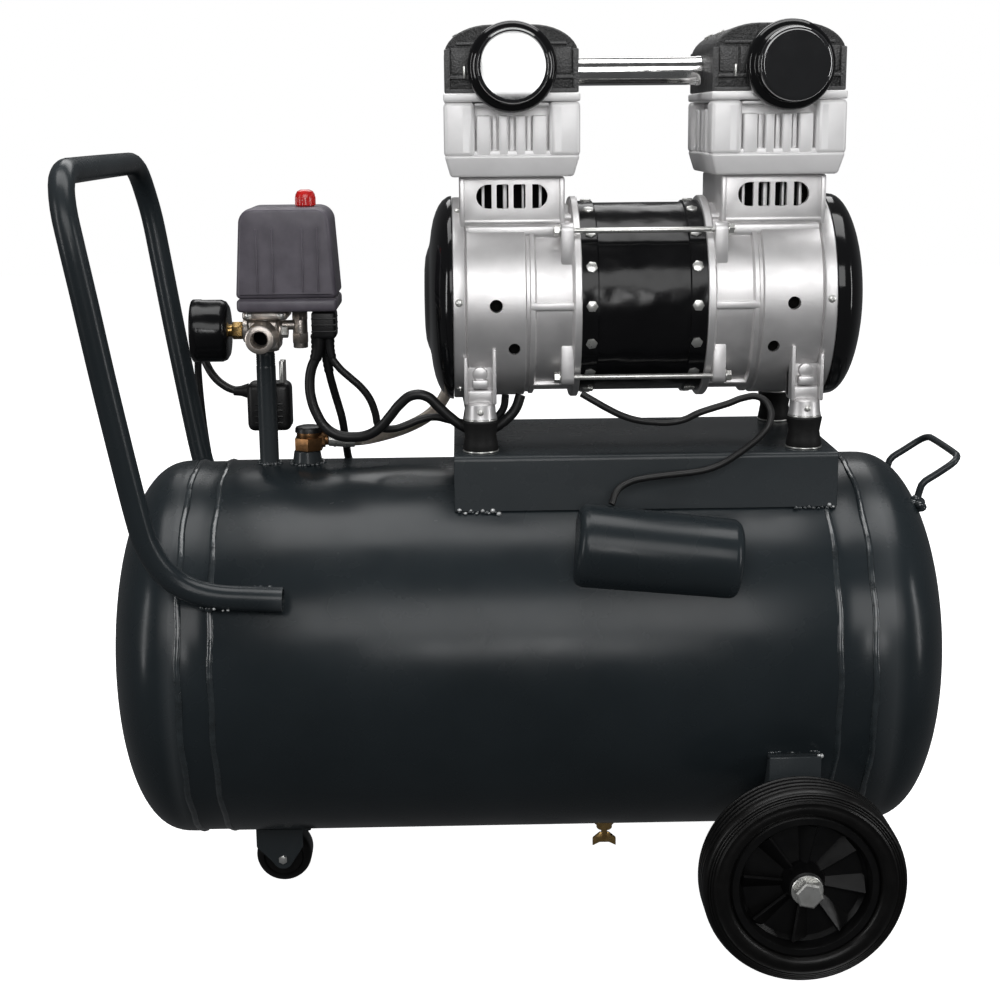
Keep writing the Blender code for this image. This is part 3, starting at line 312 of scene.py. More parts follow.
SLATE_PAINT = Finish(
    "slate_paint", (0.0170, 0.0222, 0.0255), (0.0132, 0.0174, 0.0200), (0.21, 0.31),
    mottle=9.0, grain=420.0, strength=0.05, depth=0.0004, wave=0.16, wave_scale=13.0,
    ior=1.42, specular=0.34, edge_wear_and_highlight=0.10,
)
WELD_PAINT = Finish(
    "weld_paint", (0.0260, 0.0330, 0.0370), (0.0150, 0.0190, 0.0210), (0.16, 0.26),
    mottle=120.0, grain=520.0, strength=0.35, depth=0.0006, coat=0.5, ior=1.5,
)
# Weld spatter in a light grey metal: its brightness is a painted glint on the beads.
GLINTING_SPATTER = Finish(
    "spatter_painted_glint", (0.62, 0.63, 0.63), (0.36, 0.37, 0.37), (0.25, 0.45),
    metallic=0.4, mottle=300.0, grain=900.0, strength=0.5,
)
CAST_ALUMINIUM = Finish(
    "cast_aluminium", (0.76, 0.745, 0.745), (0.64, 0.63, 0.63), (0.36, 0.47),
    metallic=0.74, mottle=26.0, grain=1500.0, strength=0.16, depth=0.00025, edge_wear_and_highlight=0.25,
)
# Painted light: a lighter, less metallic copy of the cast aluminium, so that the blocks' and plates' faces
# turned to the camera come out brighter than the lamps make them.
LIT_CAST_ALUMINIUM = Finish(
    "lit_block_aluminium", (0.92, 0.91, 0.91), (0.84, 0.83, 0.83), (0.38, 0.50),
    metallic=0.22, mottle=34.0, grain=1300.0, strength=0.22, depth=0.0003, edge_wear_and_highlight=0.25,
)
CAST_MANIFOLD = Finish(
    "cast_zinc_alloy", (0.64, 0.57, 0.51), (0.42, 0.40, 0.38), (0.28, 0.45),
    metallic=0.95, mottle=90.0, grain=1000.0, strength=0.35, depth=0.0003,
)
ZINC = Finish(
    "zinc_plated_steel", (0.72, 0.72, 0.70), (0.60, 0.60, 0.57), (0.26, 0.38),
    metallic=0.85, mottle=160.0, grain=1400.0, strength=0.03,
)
AGED_BRASS = Finish(
    "aged_brass", (0.27, 0.135, 0.055), (0.12, 0.065, 0.030), (0.28, 0.45),
    metallic=0.9, mottle=110.0, grain=1300.0, strength=0.12,
)
CHROME = Finish(
    "polished_tube", (0.80, 0.80, 0.79), (0.72, 0.71, 0.70), (0.08, 0.17),
    metallic=1.0, mottle=60.0, relief=Relief.GRAIN, grain=1200.0, strength=0.05,
)
BRASS = Finish(
    "turned_brass", (0.70, 0.47, 0.19), (0.52, 0.33, 0.12), (0.20, 0.36),
    metallic=1.0, mottle=140.0, grain=1300.0, strength=0.12,
)
GLOSS_BLACK = Finish(
    "gloss_black_enamel", (0.0065, 0.0065, 0.0070), (0.0050, 0.0050, 0.0055), (0.07, 0.14),
    mottle=20.0, grain=500.0, strength=0.05, depth=0.0004, wave=0.12, wave_scale=26.0, wave_depth=0.003,
    coat=0.1, coat_roughness=0.04, ior=1.45, specular=0.38,
)
STATOR_BLACK = Finish(
    "stator_enamel", (0.0050, 0.0050, 0.0055), (0.0040, 0.0040, 0.0045), (0.14, 0.24),
    mottle=30.0, grain=420.0, strength=0.08, depth=0.0005, wave=0.55, wave_scale=42.0, wave_depth=0.003,
    ior=1.45, specular=0.30,
)
CAP_LACQUER = Finish(
    "cap_lacquer", (0.0085, 0.0088, 0.0098), (0.0070, 0.0072, 0.0080), (0.05, 0.10),
    mottle=40.0, grain=500.0, strength=0.01, coat=1.0, coat_roughness=0.03, ior=1.85,
)
CRINKLE_BLACK = Finish(
    "crinkle_black", (0.0085, 0.0085, 0.0090), (0.0050, 0.0050, 0.0054), (0.40, 0.56),
    mottle=90.0, relief=Relief.CRINKLE, grain=620.0, strength=0.55, depth=0.0007, edge_wear_and_highlight=0.5,
)
TYRE_RUBBER = Finish(
    "tyre_rubber", (0.0026, 0.0025, 0.0024), (0.0042, 0.0039, 0.0038), (0.28, 0.42),
    mottle=55.0, grain=1100.0, strength=0.25, depth=0.0003, specular=0.26,
)
MOUNT_RUBBER = Finish(
    "mount_rubber", (0.0050, 0.0050, 0.0050), (0.0085, 0.0085, 0.0085), (0.50, 0.68),
    mottle=120.0, grain=1200.0, strength=0.25, depth=0.0002, specular=0.25,
)
HUB_PLASTIC = Finish(
    "hub_plastic", (0.0022, 0.0022, 0.0024), (0.0032, 0.0031, 0.0031), (0.32, 0.44),
    mottle=45.0, grain=1400.0, strength=0.12, specular=0.26,
)
SWITCH_PLASTIC = Finish(
    "switch_plastic", (0.110, 0.099, 0.120), (0.078, 0.070, 0.086), (0.34, 0.46),
    mottle=70.0, grain=1800.0, strength=0.22, depth=0.0002,
)
BLACK_PLASTIC = Finish(
    "black_plastic", (0.0060, 0.0060, 0.0066), (0.0090, 0.0090, 0.0096), (0.34, 0.48),
    mottle=80.0, grain=1500.0, strength=0.15, specular=0.35,
)
RED_PLASTIC = Finish(
    "red_plastic", (0.62, 0.012, 0.010), (0.48, 0.008, 0.008), (0.22, 0.32),
    mottle=150.0, grain=1400.0, strength=0.06, coat=0.3,
)
# Painted shade: a near-black finish for stand-ins set where the inside of an opening lies in shade.
SHADE_BLACK = Finish(
    "painted_shade_black", (0.0015, 0.0014, 0.0014), (0.0024, 0.0022, 0.0022), (0.75, 0.90),
    mottle=90.0, grain=900.0, strength=0.2, specular=0.1,
)
CABLE_SHEATH = Finish(
    "cable_sheath", (0.0060, 0.0060, 0.0064), (0.0090, 0.0090, 0.0092), (0.36, 0.50),
    mottle=90.0, grain=1300.0, strength=0.12, specular=0.4,
)
BRAIDED_STEEL = Finish(
    "braided_steel", (0.78, 0.70, 0.61), (0.60, 0.52, 0.44), (0.28, 0.42),
    metallic=0.70, mottle=60.0, relief=Relief.BRAID, grain=2.2, strength=0.9, depth=0.0006,
)
LAMINATED_STEEL = Finish(
    "laminated_steel", (0.27, 0.26, 0.25), (0.20, 0.18, 0.16), (0.40, 0.55),
    metallic=1.0, mottle=80.0, relief=Relief.LAYERS, grain=320.0, strength=0.5,
)
DIAL_CARD = Finish(
    "dial_card", (0.78, 0.78, 0.76), (0.70, 0.70, 0.67), (0.55, 0.65),
    mottle=120.0, grain=1500.0, strength=0.05,
)
DIAL_INK = Finish(
    "dial_ink", (0.012, 0.012, 0.012), (0.020, 0.020, 0.020), (0.55, 0.65),
    mottle=200.0, grain=1500.0, strength=0.05,
)
FLOOR_PALE = Finish(
    "pale_floor", (0.90, 0.90, 0.90), (0.88, 0.88, 0.88), (0.60, 0.75),
    mottle=1.2, grain=300.0, strength=0.05, specular=0.1, glow=1.05,
)


# ------------------------------------------------------------ mesh building


def aimed(origin: Spot, direction: Spot) -> Matrix:
    """The place whose own Z runs along a direction."""
    turn = Vector(direction).to_track_quat("Z", "Y").to_matrix().to_4x4()
    return Matrix.Translation(Vector(origin)) @ turn


def on_plane(origin: Spot, u: Vector, v: Vector) -> Matrix:
    """The place whose own X and Y run along u and v."""
    place = Matrix.Identity(4)
    place.col[0][:3] = u
    place.col[1][:3] = v
    place.col[2][:3] = u.cross(v)
    return Matrix.Translation(Vector(origin)) @ place


def degrees(start: int, stop: int, step: int) -> list[float]:
    """The angles of a range in whole degrees, in radians."""
    return [math.radians(angle) for angle in range(start, stop, step)]


def arc(centre: Flat, radius: float, start: float, end: float, steps: int) -> list[Flat]:
    """Points along an arc.

    Args:
        centre: The arc's centre.
        radius: Its radius.
        start: The first angle in degrees.
        end: The last angle in degrees.
        steps: The number of chords.

    Returns:
        The points in order.
    """
    angles = [math.radians(start + (end - start) * i / steps) for i in range(steps + 1)]
    return [(centre[0] + radius * math.cos(a), centre[1] + radius * math.sin(a)) for a in angles]


def smooth_route(points: Sequence[Point], spacing: float) -> list[Vector]:
    """Evenly spaced points on a smooth curve through a route.

    Args:
        points: The route's own points.
        spacing: The distance wanted between the new ones.

    Returns:
        The new points, with both ends kept.
    """
    route = [Vector(p) for p in points]
    ends = [route[0] * 2 - route[1], *route, route[-1] * 2 - route[-2]]
    fine: list[Vector] = []
    for p0, p1, p2, p3 in zip(ends, ends[1:], ends[2:], ends[3:]):
        for i in range(20):
            t = i / 20
            fine.append(
                0.5 * (2 * p1 + (p2 - p0) * t + (2 * p0 - 5 * p1 + 4 * p2 - p3) * t**2
                       + (3 * p1 - p0 - 3 * p2 + p3) * t**3)
            )
    fine.append(route[-1])
    count = max(2, round(route_length(fine) / spacing))
    step = route_length(fine) / count
    even = [fine[0]]
    walked = 0.0
    for a, b in zip(fine, fine[1:]):
        length = (b - a).length
        while len(even) < count and walked + length >= step * len(even):
            even.append(a.lerp(b, (step * len(even) - walked) / length))
        walked += length
    even.append(route[-1])
    return even


def route_length(points: Sequence[Vector]) -> float:
    """The length of a line through points."""
    return sum((Vector(b) - Vector(a)).length for a, b in zip(points, points[1:]))


def middle(node: str) -> Vector:
    """The centre of a CAD node's box."""
    low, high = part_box(node)
    return (low + high) / 2


class Shape:
    """Closed shells gathered into one mesh."""

    def __init__(self) -> None:
        """Starts with no shells."""
        self.mesh = bmesh.new()

    def add(self, shell: Mesh, place: Matrix | None = None) -> "Shape":
        """Puts a shell in the mesh, with its faces outwards, and frees it.

        Args:
            shell: The new shell, about its own origin.
            place: Where it goes.

        Returns:
            This shape.
        """
        if place is not None:
            bmesh.ops.transform(shell, matrix=place, verts=shell.verts)
        bmesh.ops.remove_doubles(shell, verts=shell.verts, dist=1e-7)
        bmesh.ops.recalc_face_normals(shell, faces=shell.faces)
        data = bpy.data.meshes.new("shell")
        shell.to_mesh(data)
        shell.free()
        self.mesh.from_mesh(data)
        bpy.data.meshes.remove(data)
        return self

    def block(
        self, low: Spot, high: Spot, rounding: float = 0.0, segments: int = 2, place: Matrix | None = None,
    ) -> "Shape":
        """A rectangular block with rounded edges.

        Args:
            low: Its lowest corner.
            high: Its highest corner.
            rounding: The radius of its edges.
            segments: Faces round each edge.
            place: A further place for the whole block.

        Returns:
            This shape.
        """
        low, high = Vector(map(min, low, high)), Vector(map(max, low, high))
        shell = bmesh.new()
        bmesh.ops.create_cube(shell, size=1.0)
        bmesh.ops.scale(shell, vec=high - low, verts=shell.verts)
        bmesh.ops.translate(shell, vec=(high + low) / 2, verts=shell.verts)
        round_edges(shell, min(rounding, 0.49 * min(high - low)), segments)
        return self.add(shell, place)

    def rod(
        self, start: Spot, end: Spot, radius: float, steps: int = 24, tip: float | None = None,
        rounding: float = 0.0,
    ) -> "Shape":
        """A round or many-sided bar, or a cone.

        Args:
            start: The middle of its first end.
            end: The middle of its second end.
            radius: Its radius at the first end.
            steps: Its number of sides.
            tip: Its radius at the second end, if another.
            rounding: The radius of the edges of its ends.

        Returns:
            This shape.
        """
        run = Vector(end) - Vector(start)
        shell = bmesh.new()
        bmesh.ops.create_cone(
            shell, cap_ends=True, segments=steps, radius1=radius,
            radius2=radius if tip is None else tip, depth=run.length,
        )
        if rounding > 0:
            rims = [e for e in shell.edges if abs(e.verts[0].co.z - e.verts[1].co.z) < 1e-9]
            bmesh.ops.bevel(
                shell, geom=rims, offset=rounding, segments=2, affect="EDGES", profile=0.5, material=-1,
            )
        bmesh.ops.translate(shell, vec=(0, 0, run.length / 2), verts=shell.verts)
        return self.add(shell, aimed(start, run))

    def lathe(
        self, profile: Sequence[Flat], origin: Spot, axis: Spot, steps: int = 64, ring: bool = False,
    ) -> "Shape":
        """Turns a profile about an axis.

        Args:
            profile: Points of (radius, distance along the axis).
            origin: Where that distance is zero.
            axis: The axis's direction.
            steps: Faces round the turn.
            ring: Whether the last point joins the first.

        Returns:
            This shape.
        """
        shell = bmesh.new()
        verts = [shell.verts.new((radius, 0.0, height)) for radius, height in profile]
        pairs = list(zip(verts, verts[1:])) + ([(verts[-1], verts[0])] if ring else [])
        edges = [shell.edges.new(pair) for pair in pairs]
        bmesh.ops.spin(
            shell, geom=verts + edges, cent=(0, 0, 0), axis=(0, 0, 1), angle=TURN,
            steps=steps, use_merge=True, use_duplicate=False,
        )
        bmesh.ops.remove_doubles(shell, verts=shell.verts, dist=1e-6)
        return self.add(shell, aimed(origin, axis))

    def prism(
        self, outline: Sequence[Flat], place: Matrix, depth: float, rounding: float = 0.0,
        segments: int = 2, sharp: float = 30.0,
    ) -> "Shape":
        """Raises a flat outline along its place's own Z.

        Args:
            outline: Points in its place's own X and Y.
            place: The outline's place.
            depth: How far it is raised.
            rounding: The radius of its edges.
            segments: Faces round each edge.
            sharp: The least angle in degrees of an edge that is rounded.

        Returns:
            This shape.
        """
        shell = bmesh.new()
        face = shell.faces.new([shell.verts.new((x, y, 0.0)) for x, y in outline])
        raised = bmesh.ops.extrude_face_region(shell, geom=[face], use_keep_orig=True)["geom"]
        bmesh.ops.translate(
            shell, vec=(0, 0, depth), verts=[g for g in raised if isinstance(g, bmesh.types.BMVert)],
        )
        bmesh.ops.recalc_face_normals(shell, faces=shell.faces)
        round_edges(shell, rounding, segments, sharp)
        return self.add(shell, place)

    def sweep(
        self, points: Sequence[Spot], radius: float, sides: int = 12, taper: Spot | None = None,
    ) -> "Shape":
        """A round tube along a line, with filled ends.

        Args:
            points: The line's points.
            radius: The tube's radius.
            sides: Faces round it.
            taper: A factor on the radius at each point.

        Returns:
            This shape.
        """
        curve = bpy.data.curves.new("sweep", "CURVE")
        curve.dimensions = "3D"
        curve.bevel_depth = radius
        curve.bevel_resolution = max(0, sides // 4 - 1)
        curve.use_fill_caps = True
        spline = curve.splines.new("POLY")
        spline.points.add(len(points) - 1)
        for i, (point, place) in enumerate(zip(spline.points, points)):
            point.co = (*place, 1.0)
            point.radius = taper[i] if taper else 1.0
        return self.add_curve(curve)

    def add_curve(self, curve: bpy.types.Curve) -> "Shape":
        """Puts a curve's surface in the mesh and removes the curve."""
        obj = bpy.data.objects.new("sweep", curve)
        bpy.context.scene.collection.objects.link(obj)
        graph = bpy.context.evaluated_depsgraph_get()
        data = bpy.data.meshes.new_from_object(obj.evaluated_get(graph))
        shell = bmesh.new()
        shell.from_mesh(data)
        bpy.data.objects.remove(obj)
        bpy.data.curves.remove(curve)
        bpy.data.meshes.remove(data)
        return self.add(shell)

    def bolt(
        self, place: Spot, axis: Spot, across: float, height: float, washer: float = 0.0, turn: float = 0.0,
    ) -> "Shape":
        """A hexagon head with a chamfered top, on a washer if it has one.

        Args:
            place: The middle of the seat.
            axis: The direction the head points.
            across: Its size between corners.
            height: Its height.
            washer: The washer's radius.
            turn: The head's own turn in degrees.

        Returns:
            This shape.
        """
        seat = 0.0
        if washer > 0:
            seat = 0.0009
            self.rod(place, Vector(place) + Vector(axis).normalized() * seat, washer, 20, rounding=0.0002)
        shell = bmesh.new()
        bmesh.ops.create_cone(
            shell, cap_ends=True, segments=6, radius1=across / 2, radius2=across / 2, depth=height,
        )
        top = [f for f in shell.faces if f.normal.z > 0.9]
        bmesh.ops.inset_region(shell, faces=top, thickness=across * 0.07, depth=0.0)
        bmesh.ops.translate(shell, vec=(0, 0, height * 0.14), verts=[v for f in top for v in f.verts])
        bmesh.ops.translate(shell, vec=(0, 0, height / 2 + seat), verts=shell.verts)
        bmesh.ops.rotate(shell, matrix=Matrix.Rotation(math.radians(turn), 3, "Z"), verts=shell.verts)
        return self.add(shell, aimed(place, axis))

    def screw(self, place: Spot, axis: Spot, radius: float) -> "Shape":
        """A pan-head screw with a cross recess.

        Args:
            place: The middle of the seat.
            axis: The direction the head points.
            radius: The head's radius.

        Returns:
            This shape.
        """
        head = Shape().lathe(
            [
                (0.0, 0.7 * radius), (0.5 * radius, 0.62 * radius), (0.85 * radius, 0.42 * radius),
                (radius, 0.12 * radius), (radius, 0.0), (0.0, 0.0),
            ],
            (0, 0, 0), (0, 0, 1), 20,
        )
        for turn in (0, 90):
            slot = Shape().block(
                (-0.55 * radius, -0.1 * radius, 0.3 * radius), (0.55 * radius, 0.1 * radius, radius),
                place=Matrix.Rotation(math.radians(turn), 4, "Z"),
            )
            head.cut(slot)
        return self.add(head.mesh, aimed(place, axis))

    def blobs(self, points: Sequence[Spot], radius: float, seed: int) -> "Shape":
        """Uneven beads of weld along points.

        Args:
            points: Their middles.
            radius: Their usual radius.
            seed: Sets how they differ.

        Returns:
            This shape.
        """
        chance = random.Random(seed)
        for point in points:
            shell = bmesh.new()
            bmesh.ops.create_icosphere(shell, subdivisions=2, radius=radius * chance.uniform(0.7, 1.25))
            sizes = [chance.uniform(*limits) for limits in ((0.8, 1.3), (0.8, 1.2), (0.6, 1.0))]
            squash = Matrix.Diagonal((*sizes, 1.0))
            shift = Vector([chance.uniform(-0.3, 0.3) * radius for _ in range(3)])
            self.add(shell, Matrix.Translation(Vector(point) + shift) @ squash)
        return self

    def join(self, other: "Shape", place: Matrix | None = None) -> "Shape":
        """Puts another shape's shells in this one."""
        return self.add(other.mesh, place)

    def cut(self, tool: "Shape", operation: str = "DIFFERENCE") -> "Shape":
        """Cuts another shape from this one, or joins or intersects the two.

        Args:
            tool: The other shape, which is used up.
            operation: The Boolean modifier's own word.

        Returns:
            This shape.
        """
        base, cutter = self.as_object("base"), tool.as_object("cutter")
        modifier = base.modifiers.new("Cut", "BOOLEAN")
        modifier.operation = operation
        modifier.object = cutter
        modifier.solver = "EXACT"
        graph = bpy.context.evaluated_depsgraph_get()
        result = bpy.data.meshes.new_from_object(base.evaluated_get(graph))
        self.mesh = bmesh.new()
        self.mesh.from_mesh(result)
        bmesh.ops.remove_doubles(self.mesh, verts=self.mesh.verts, dist=1e-6)
        for obj in (base, cutter):
            data = obj.data
            bpy.data.objects.remove(obj)
            bpy.data.meshes.remove(data)
        bpy.data.meshes.remove(result)
        return self

    def as_object(self, name: str) -> Piece:
        """Makes an object of the mesh, which is then freed."""
        data = bpy.data.meshes.new(name)
        self.mesh.to_mesh(data)
        self.mesh.free()
        obj = bpy.data.objects.new(name, data)
        bpy.context.scene.collection.objects.link(obj)
        return obj

    def finish(
        self, name: str, finish: Finish, body: str = "frame", replaces: Iterable[str] = (), slot: str = "",
        angle: float = 32.0, bevel: float = 0.0,
    ) -> Piece:
        """Makes the shape a piece of the compressor.

        Args:
            name: The piece's name.
            finish: Its finish.
            body: The CAD body that it rides.
            replaces: The CAD nodes that it stands for.
            slot: A material slot's name, which is not used.
            angle: Edges sharper than this, in degrees, stay sharp.
            bevel: The width of a fine bevel on its sharp edges.

        Returns:
            The piece.
        """
        nodes = list(replaces)
        obj = self.as_object(name)
        obj.data.shade_smooth()
        obj.data.set_sharp_from_angle(angle=math.radians(angle))
        obj.data.materials.append(finish.material())
        if bevel > 0:
            modifier = obj.modifiers.new("Bevel", "BEVEL")
            modifier.width = bevel
            modifier.segments = 2
            modifier.limit_method = "ANGLE"
            modifier.angle_limit = math.radians(angle)
            modifier.harden_normals = False
        settle(obj, body, nodes)
        return obj


def round_edges(shell: Mesh, rounding: float, segments: int, sharp: float = 30.0) -> None:
    """Rounds a shell's edges that are sharper than an angle in degrees."""
    if rounding <= 0:
        return
    limit = math.radians(sharp)
    edges = [e for e in shell.edges if len(e.link_faces) == 2 and e.calc_face_angle(0.0) > limit]
    bmesh.ops.bevel(
        shell, geom=edges, offset=rounding, segments=segments, affect="EDGES", profile=0.5, material=-1,
    )


def settle(obj: Piece, body: str, nodes: Sequence[str]) -> None:
    """Puts a piece on its body, in place of its CAD nodes, and reports it.

    Args:
        obj: The piece.
        body: The CAD body that it rides.
        nodes: The CAD nodes that it stands for.
    """
    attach(obj, body)
    if nodes:
        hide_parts(*nodes)
    log.info("%s rides %s%s", obj.name, body, f" for {', '.join(nodes)}" if nodes else "")


def dress_node(frame: dict, node: str, finish: Finish) -> None:
    """Gives a CAD node that stays as it is a finish."""
    obj = frame["nodes"][node]
    obj.data.materials.clear()
    obj.data.materials.append(finish.material())
    log.info("%s keeps its CAD shape", node)


# -------------------------------------------------------- stage and camera


@dataclass
class Studio:
    """The camera, lights, floor and surroundings."""

    camera_place: Point = (-0.05506, -1.33334, 0.61719)
    yaw: float = 1.28
    pitch: float = -12.49
    roll: float = -0.53
    lens: float = 61.04
    floor_size: float = 12.0

    def build(self) -> None:
        """Makes everything that surrounds the compressor."""
        self.add_camera()
        self.add_surroundings()
        self.add_floor()
        self.add_softbox("softbox_overhead", (0.0, 0.0, 2.3), (0, 0, 0.35), (2.4, 1.1), 36)
        self.add_softbox("softbox_front", (0.1, -2.3, 1.55), (0, 0, 0.5), (2.3, 1.0), 27)
        self.add_softbox("softbox_caps", (0.08, -2.45, 0.75), (0, 0, 0.66), (0.40, 0.34), 4.4)
        self.add_softbox("softbox_left", (-1.9, -0.9, 0.75), (0, 0, 0.35), (0.22, 1.2), 8)
        self.add_softbox("softbox_right", (1.9, -0.9, 0.75), (0, 0, 0.35), (0.22, 1.2), 8)
        self.add_softbox("softbox_back", (0.0, 2.2, 2.2), (0, 0, 0.3), (2.0, 0.9), 14)

    def add_camera(self) -> None:
        """Makes the camera and sets it as the scene's own."""
        camera = bpy.data.objects.new("camera", bpy.data.cameras.new("camera"))
        camera.data.lens = self.lens
        camera.data.clip_start = 0.05
        yaw, pitch, roll = (math.radians(a) for a in (self.yaw, self.pitch, self.roll))
        ahead = Vector((math.sin(yaw) * math.cos(pitch), math.cos(yaw) * math.cos(pitch), math.sin(pitch)))
        level = Vector((math.cos(yaw), -math.sin(yaw), 0.0))
        above = level.cross(ahead)
        right = level * math.cos(roll) + above * math.sin(roll)
        up = above * math.cos(roll) - level * math.sin(roll)
        camera.matrix_world = on_plane(self.camera_place, right, up)
        bpy.context.scene.collection.objects.link(camera)
        bpy.context.scene.camera = camera

    def add_surroundings(self) -> None:
        """A white backdrop that lights and mirrors as a dim room."""
        world = bpy.data.worlds.new("surroundings")
        bpy.context.scene.world = world
        world.use_nodes = True
        nodes, links = world.node_tree.nodes, world.node_tree.links
        room = nodes["Background"]
        room.inputs["Color"].default_value = (0.95, 0.97, 1.0, 1.0)
        room.inputs["Strength"].default_value = 0.085
        backdrop = nodes.new("ShaderNodeBackground")
        backdrop.inputs["Strength"].default_value = 1.0
        backdrop.inputs["Color"].default_value = (1.0, 1.0, 1.0, 1.0)
        path, mix = nodes.new("ShaderNodeLightPath"), nodes.new("ShaderNodeMixShader")
        links.new(path.outputs["Is Camera Ray"], mix.inputs["Fac"])
        links.new(room.outputs[0], mix.inputs[1])
        links.new(backdrop.outputs[0], mix.inputs[2])
        links.new(mix.outputs[0], nodes["World Output"].inputs["Surface"])
        bpy.context.scene.view_settings.view_transform = "Standard"

    def add_floor(self) -> None:
        """A plain pale floor at the height that the wheels stand on."""
        shape = bmesh.new()
        bmesh.ops.create_grid(shape, x_segments=8, y_segments=8, size=self.floor_size / 2)
        data = bpy.data.meshes.new("floor")
        shape.to_mesh(data)
        shape.free()
        data.materials.append(FLOOR_PALE.material())
        floor = bpy.data.objects.new("floor", data)
        floor.visible_glossy = False
        floor.visible_diffuse = False
        bpy.context.scene.collection.objects.link(floor)

    def add_softbox(self, name: str, place: Point, target: Point, size: Flat, power: float) -> None:
        """Adds a rectangular studio light.

        Args:
            name: The light's name.
            place: Where it stands.
            target: The point that it faces.
            size: Its width and height.
            power: Its power in watts.
        """
        data = bpy.data.lights.new(name, "AREA")
        data.shape = "RECTANGLE"
        data.size, data.size_y = size
        data.energy = power
        light = bpy.data.objects.new(name, data)
        light.location = place
        light.rotation_euler = (Vector(target) - Vector(place)).to_track_quat("-Z", "Y").to_euler()
        bpy.context.scene.collection.objects.link(light)


# ------------------------------------------------------------------- cords


@dataclass
class Cord:
    """A cord on a smooth curve through its route."""

    name: str
    route: list[Point]
    diameter: float
    replaces: tuple[str, ...]
    far_end: str = "object"
    stiffness: str = "medium"
    lay: str = "loose"
    finish: Finish = CABLE_SHEATH
    spacing: float = 0.012

    def build(self, with_pieces: Sequence[Piece] = ()) -> Piece:
        """Args:
            with_pieces: The separate pieces on the cord, which are not used.

        Returns:
            The cord.
        """
        points = smooth_route(self.route, self.spacing)
        curve = bpy.data.curves.new(self.name, "CURVE")
        curve.dimensions = "3D"
        curve.bevel_depth = self.diameter / 2
        curve.bevel_resolution = 4
        curve.use_fill_caps = True
        spline = curve.splines.new("BEZIER")
        spline.bezier_points.add(len(points) - 1)
        for point, place in zip(spline.bezier_points, points):
            point.co = place
            point.handle_left_type = point.handle_right_type = "AUTO"
        spline.resolution_u = 5
        spline.use_smooth = True
        curve.materials.append(self.finish.material())
        obj = bpy.data.objects.new(self.name, curve)
        bpy.context.scene.collection.objects.link(obj)
        settle(obj, "frame", self.replaces)
        return obj


@dataclass
class MainsLead:
    """The mains lead: over the tank, wound in a coil behind it, and up to its plug."""

    diameter: float = 0.0065
    coil_centre: Flat = (-0.188, 0.182)
    coil_radius: float = 0.038
    tank_radius: float = 0.150
    clear: float = 0.0012
    points_per_turn: int = 18

    def over_tank(self) -> list[Point]:
        """The stretch that follows the tank's round back."""
        axis = middle("tank_end_left").z
        reach = self.tank_radius + self.diameter / 2 + self.clear
        return [
            (-0.150, reach * math.sin(math.radians(a)), axis + reach * math.cos(math.radians(a)))
            for a in range(19, 92, 12)
        ]

    def coil(self) -> list[Point]:
        """The turns, inward and outward on two levels, with even steps between them."""
        low, high = self.diameter / 2, 1.5 * self.diameter
        above = 2.5 * self.diameter + 0.0001
        wide = self.coil_radius
        stages = [
            (0.0, wide, above), (0.12, wide, high), (1.0, wide, high), (1.15, wide + self.diameter, high),
            (2.0, wide + self.diameter, high), (2.15, wide + self.diameter, low),
            (3.0, wide + self.diameter, low),
            (3.15, wide, low), (4.0, wide, low), (4.15, wide - self.diameter, low),
            (5.0, wide - self.diameter, low),
            (5.15, wide - self.diameter, high), (6.05, wide - self.diameter, high), (6.25, wide, above),
        ]
        points = []
        count = round(stages[-1][0] * self.points_per_turn)
        for i in range(count + 1):
            turn = stages[-1][0] * i / count
            radius, height = self.at(stages, turn)
            angle = turn * TURN
            x, y = self.coil_centre
            points.append((x + radius * math.cos(angle), y + radius * math.sin(angle), height))
        return points

    @staticmethod
    def at(stages: Sequence[Point], turn: float) -> Flat:
        """The radius and height at a turn, eased between stages."""
        for (t0, r0, h0), (t1, r1, h1) in zip(stages, stages[1:]):
            if turn <= t1:
                share = (turn - t0) / (t1 - t0)
                eased = share * share * (3 - 2 * share)
                return r0 + (r1 - r0) * eased, h0 + (h1 - h0) * eased
        return stages[-1][1], stages[-1][2]

    def build(self, plug: Piece) -> None:
        """Makes the lead, which runs up to its plug."""
        down = [
            (-0.1605, -0.0060, 0.4550), (-0.1603, -0.0058, 0.4420), (-0.1590, -0.0030, 0.4270),
            (-0.1555, 0.0060, 0.4080), (-0.1515, 0.0160, 0.3880), (-0.1500, 0.0290, 0.3680),
            *self.over_tank(), (-0.150, 0.1555, 0.140), (-0.150, 0.1560, 0.080), (-0.150, 0.1575, 0.050),
            (-0.150, 0.1640, 0.028), (-0.150, 0.1740, 0.0170),
        ]
        up = [
            (-0.200, 0.2200, 0.0175), (-0.220, 0.2140, 0.0240), (-0.240, 0.2020, 0.0450),
            (-0.254, 0.1880, 0.0800), (-0.262, 0.1780, 0.1300), (-0.268, 0.1730, 0.2000),
            (-0.277, 0.1720, 0.2800),
            (-0.286, 0.1720, 0.3500), (-0.289, 0.1710, 0.4050), (-0.286, 0.1660, 0.4300),
            (-0.283, 0.1500, 0.4480),
            (-0.278, 0.1180, 0.4560), (-0.272, 0.0750, 0.4540), (-0.266, 0.0420, 0.4440),
            (-0.2605, 0.0290, 0.4320),
            (-0.2520, 0.0250, 0.4190), (-0.2400, 0.0240, 0.4110), (-0.2286, 0.0240, 0.4095),
        ]
        lead = Cord(
            "mains_lead", down + self.coil() + up, self.diameter,
            ("mains_lead_down", "mains_lead_coil", "mains_lead_up"), far_end="plug", lay="coiled",
            spacing=0.010,
        )
        lead.build([plug])


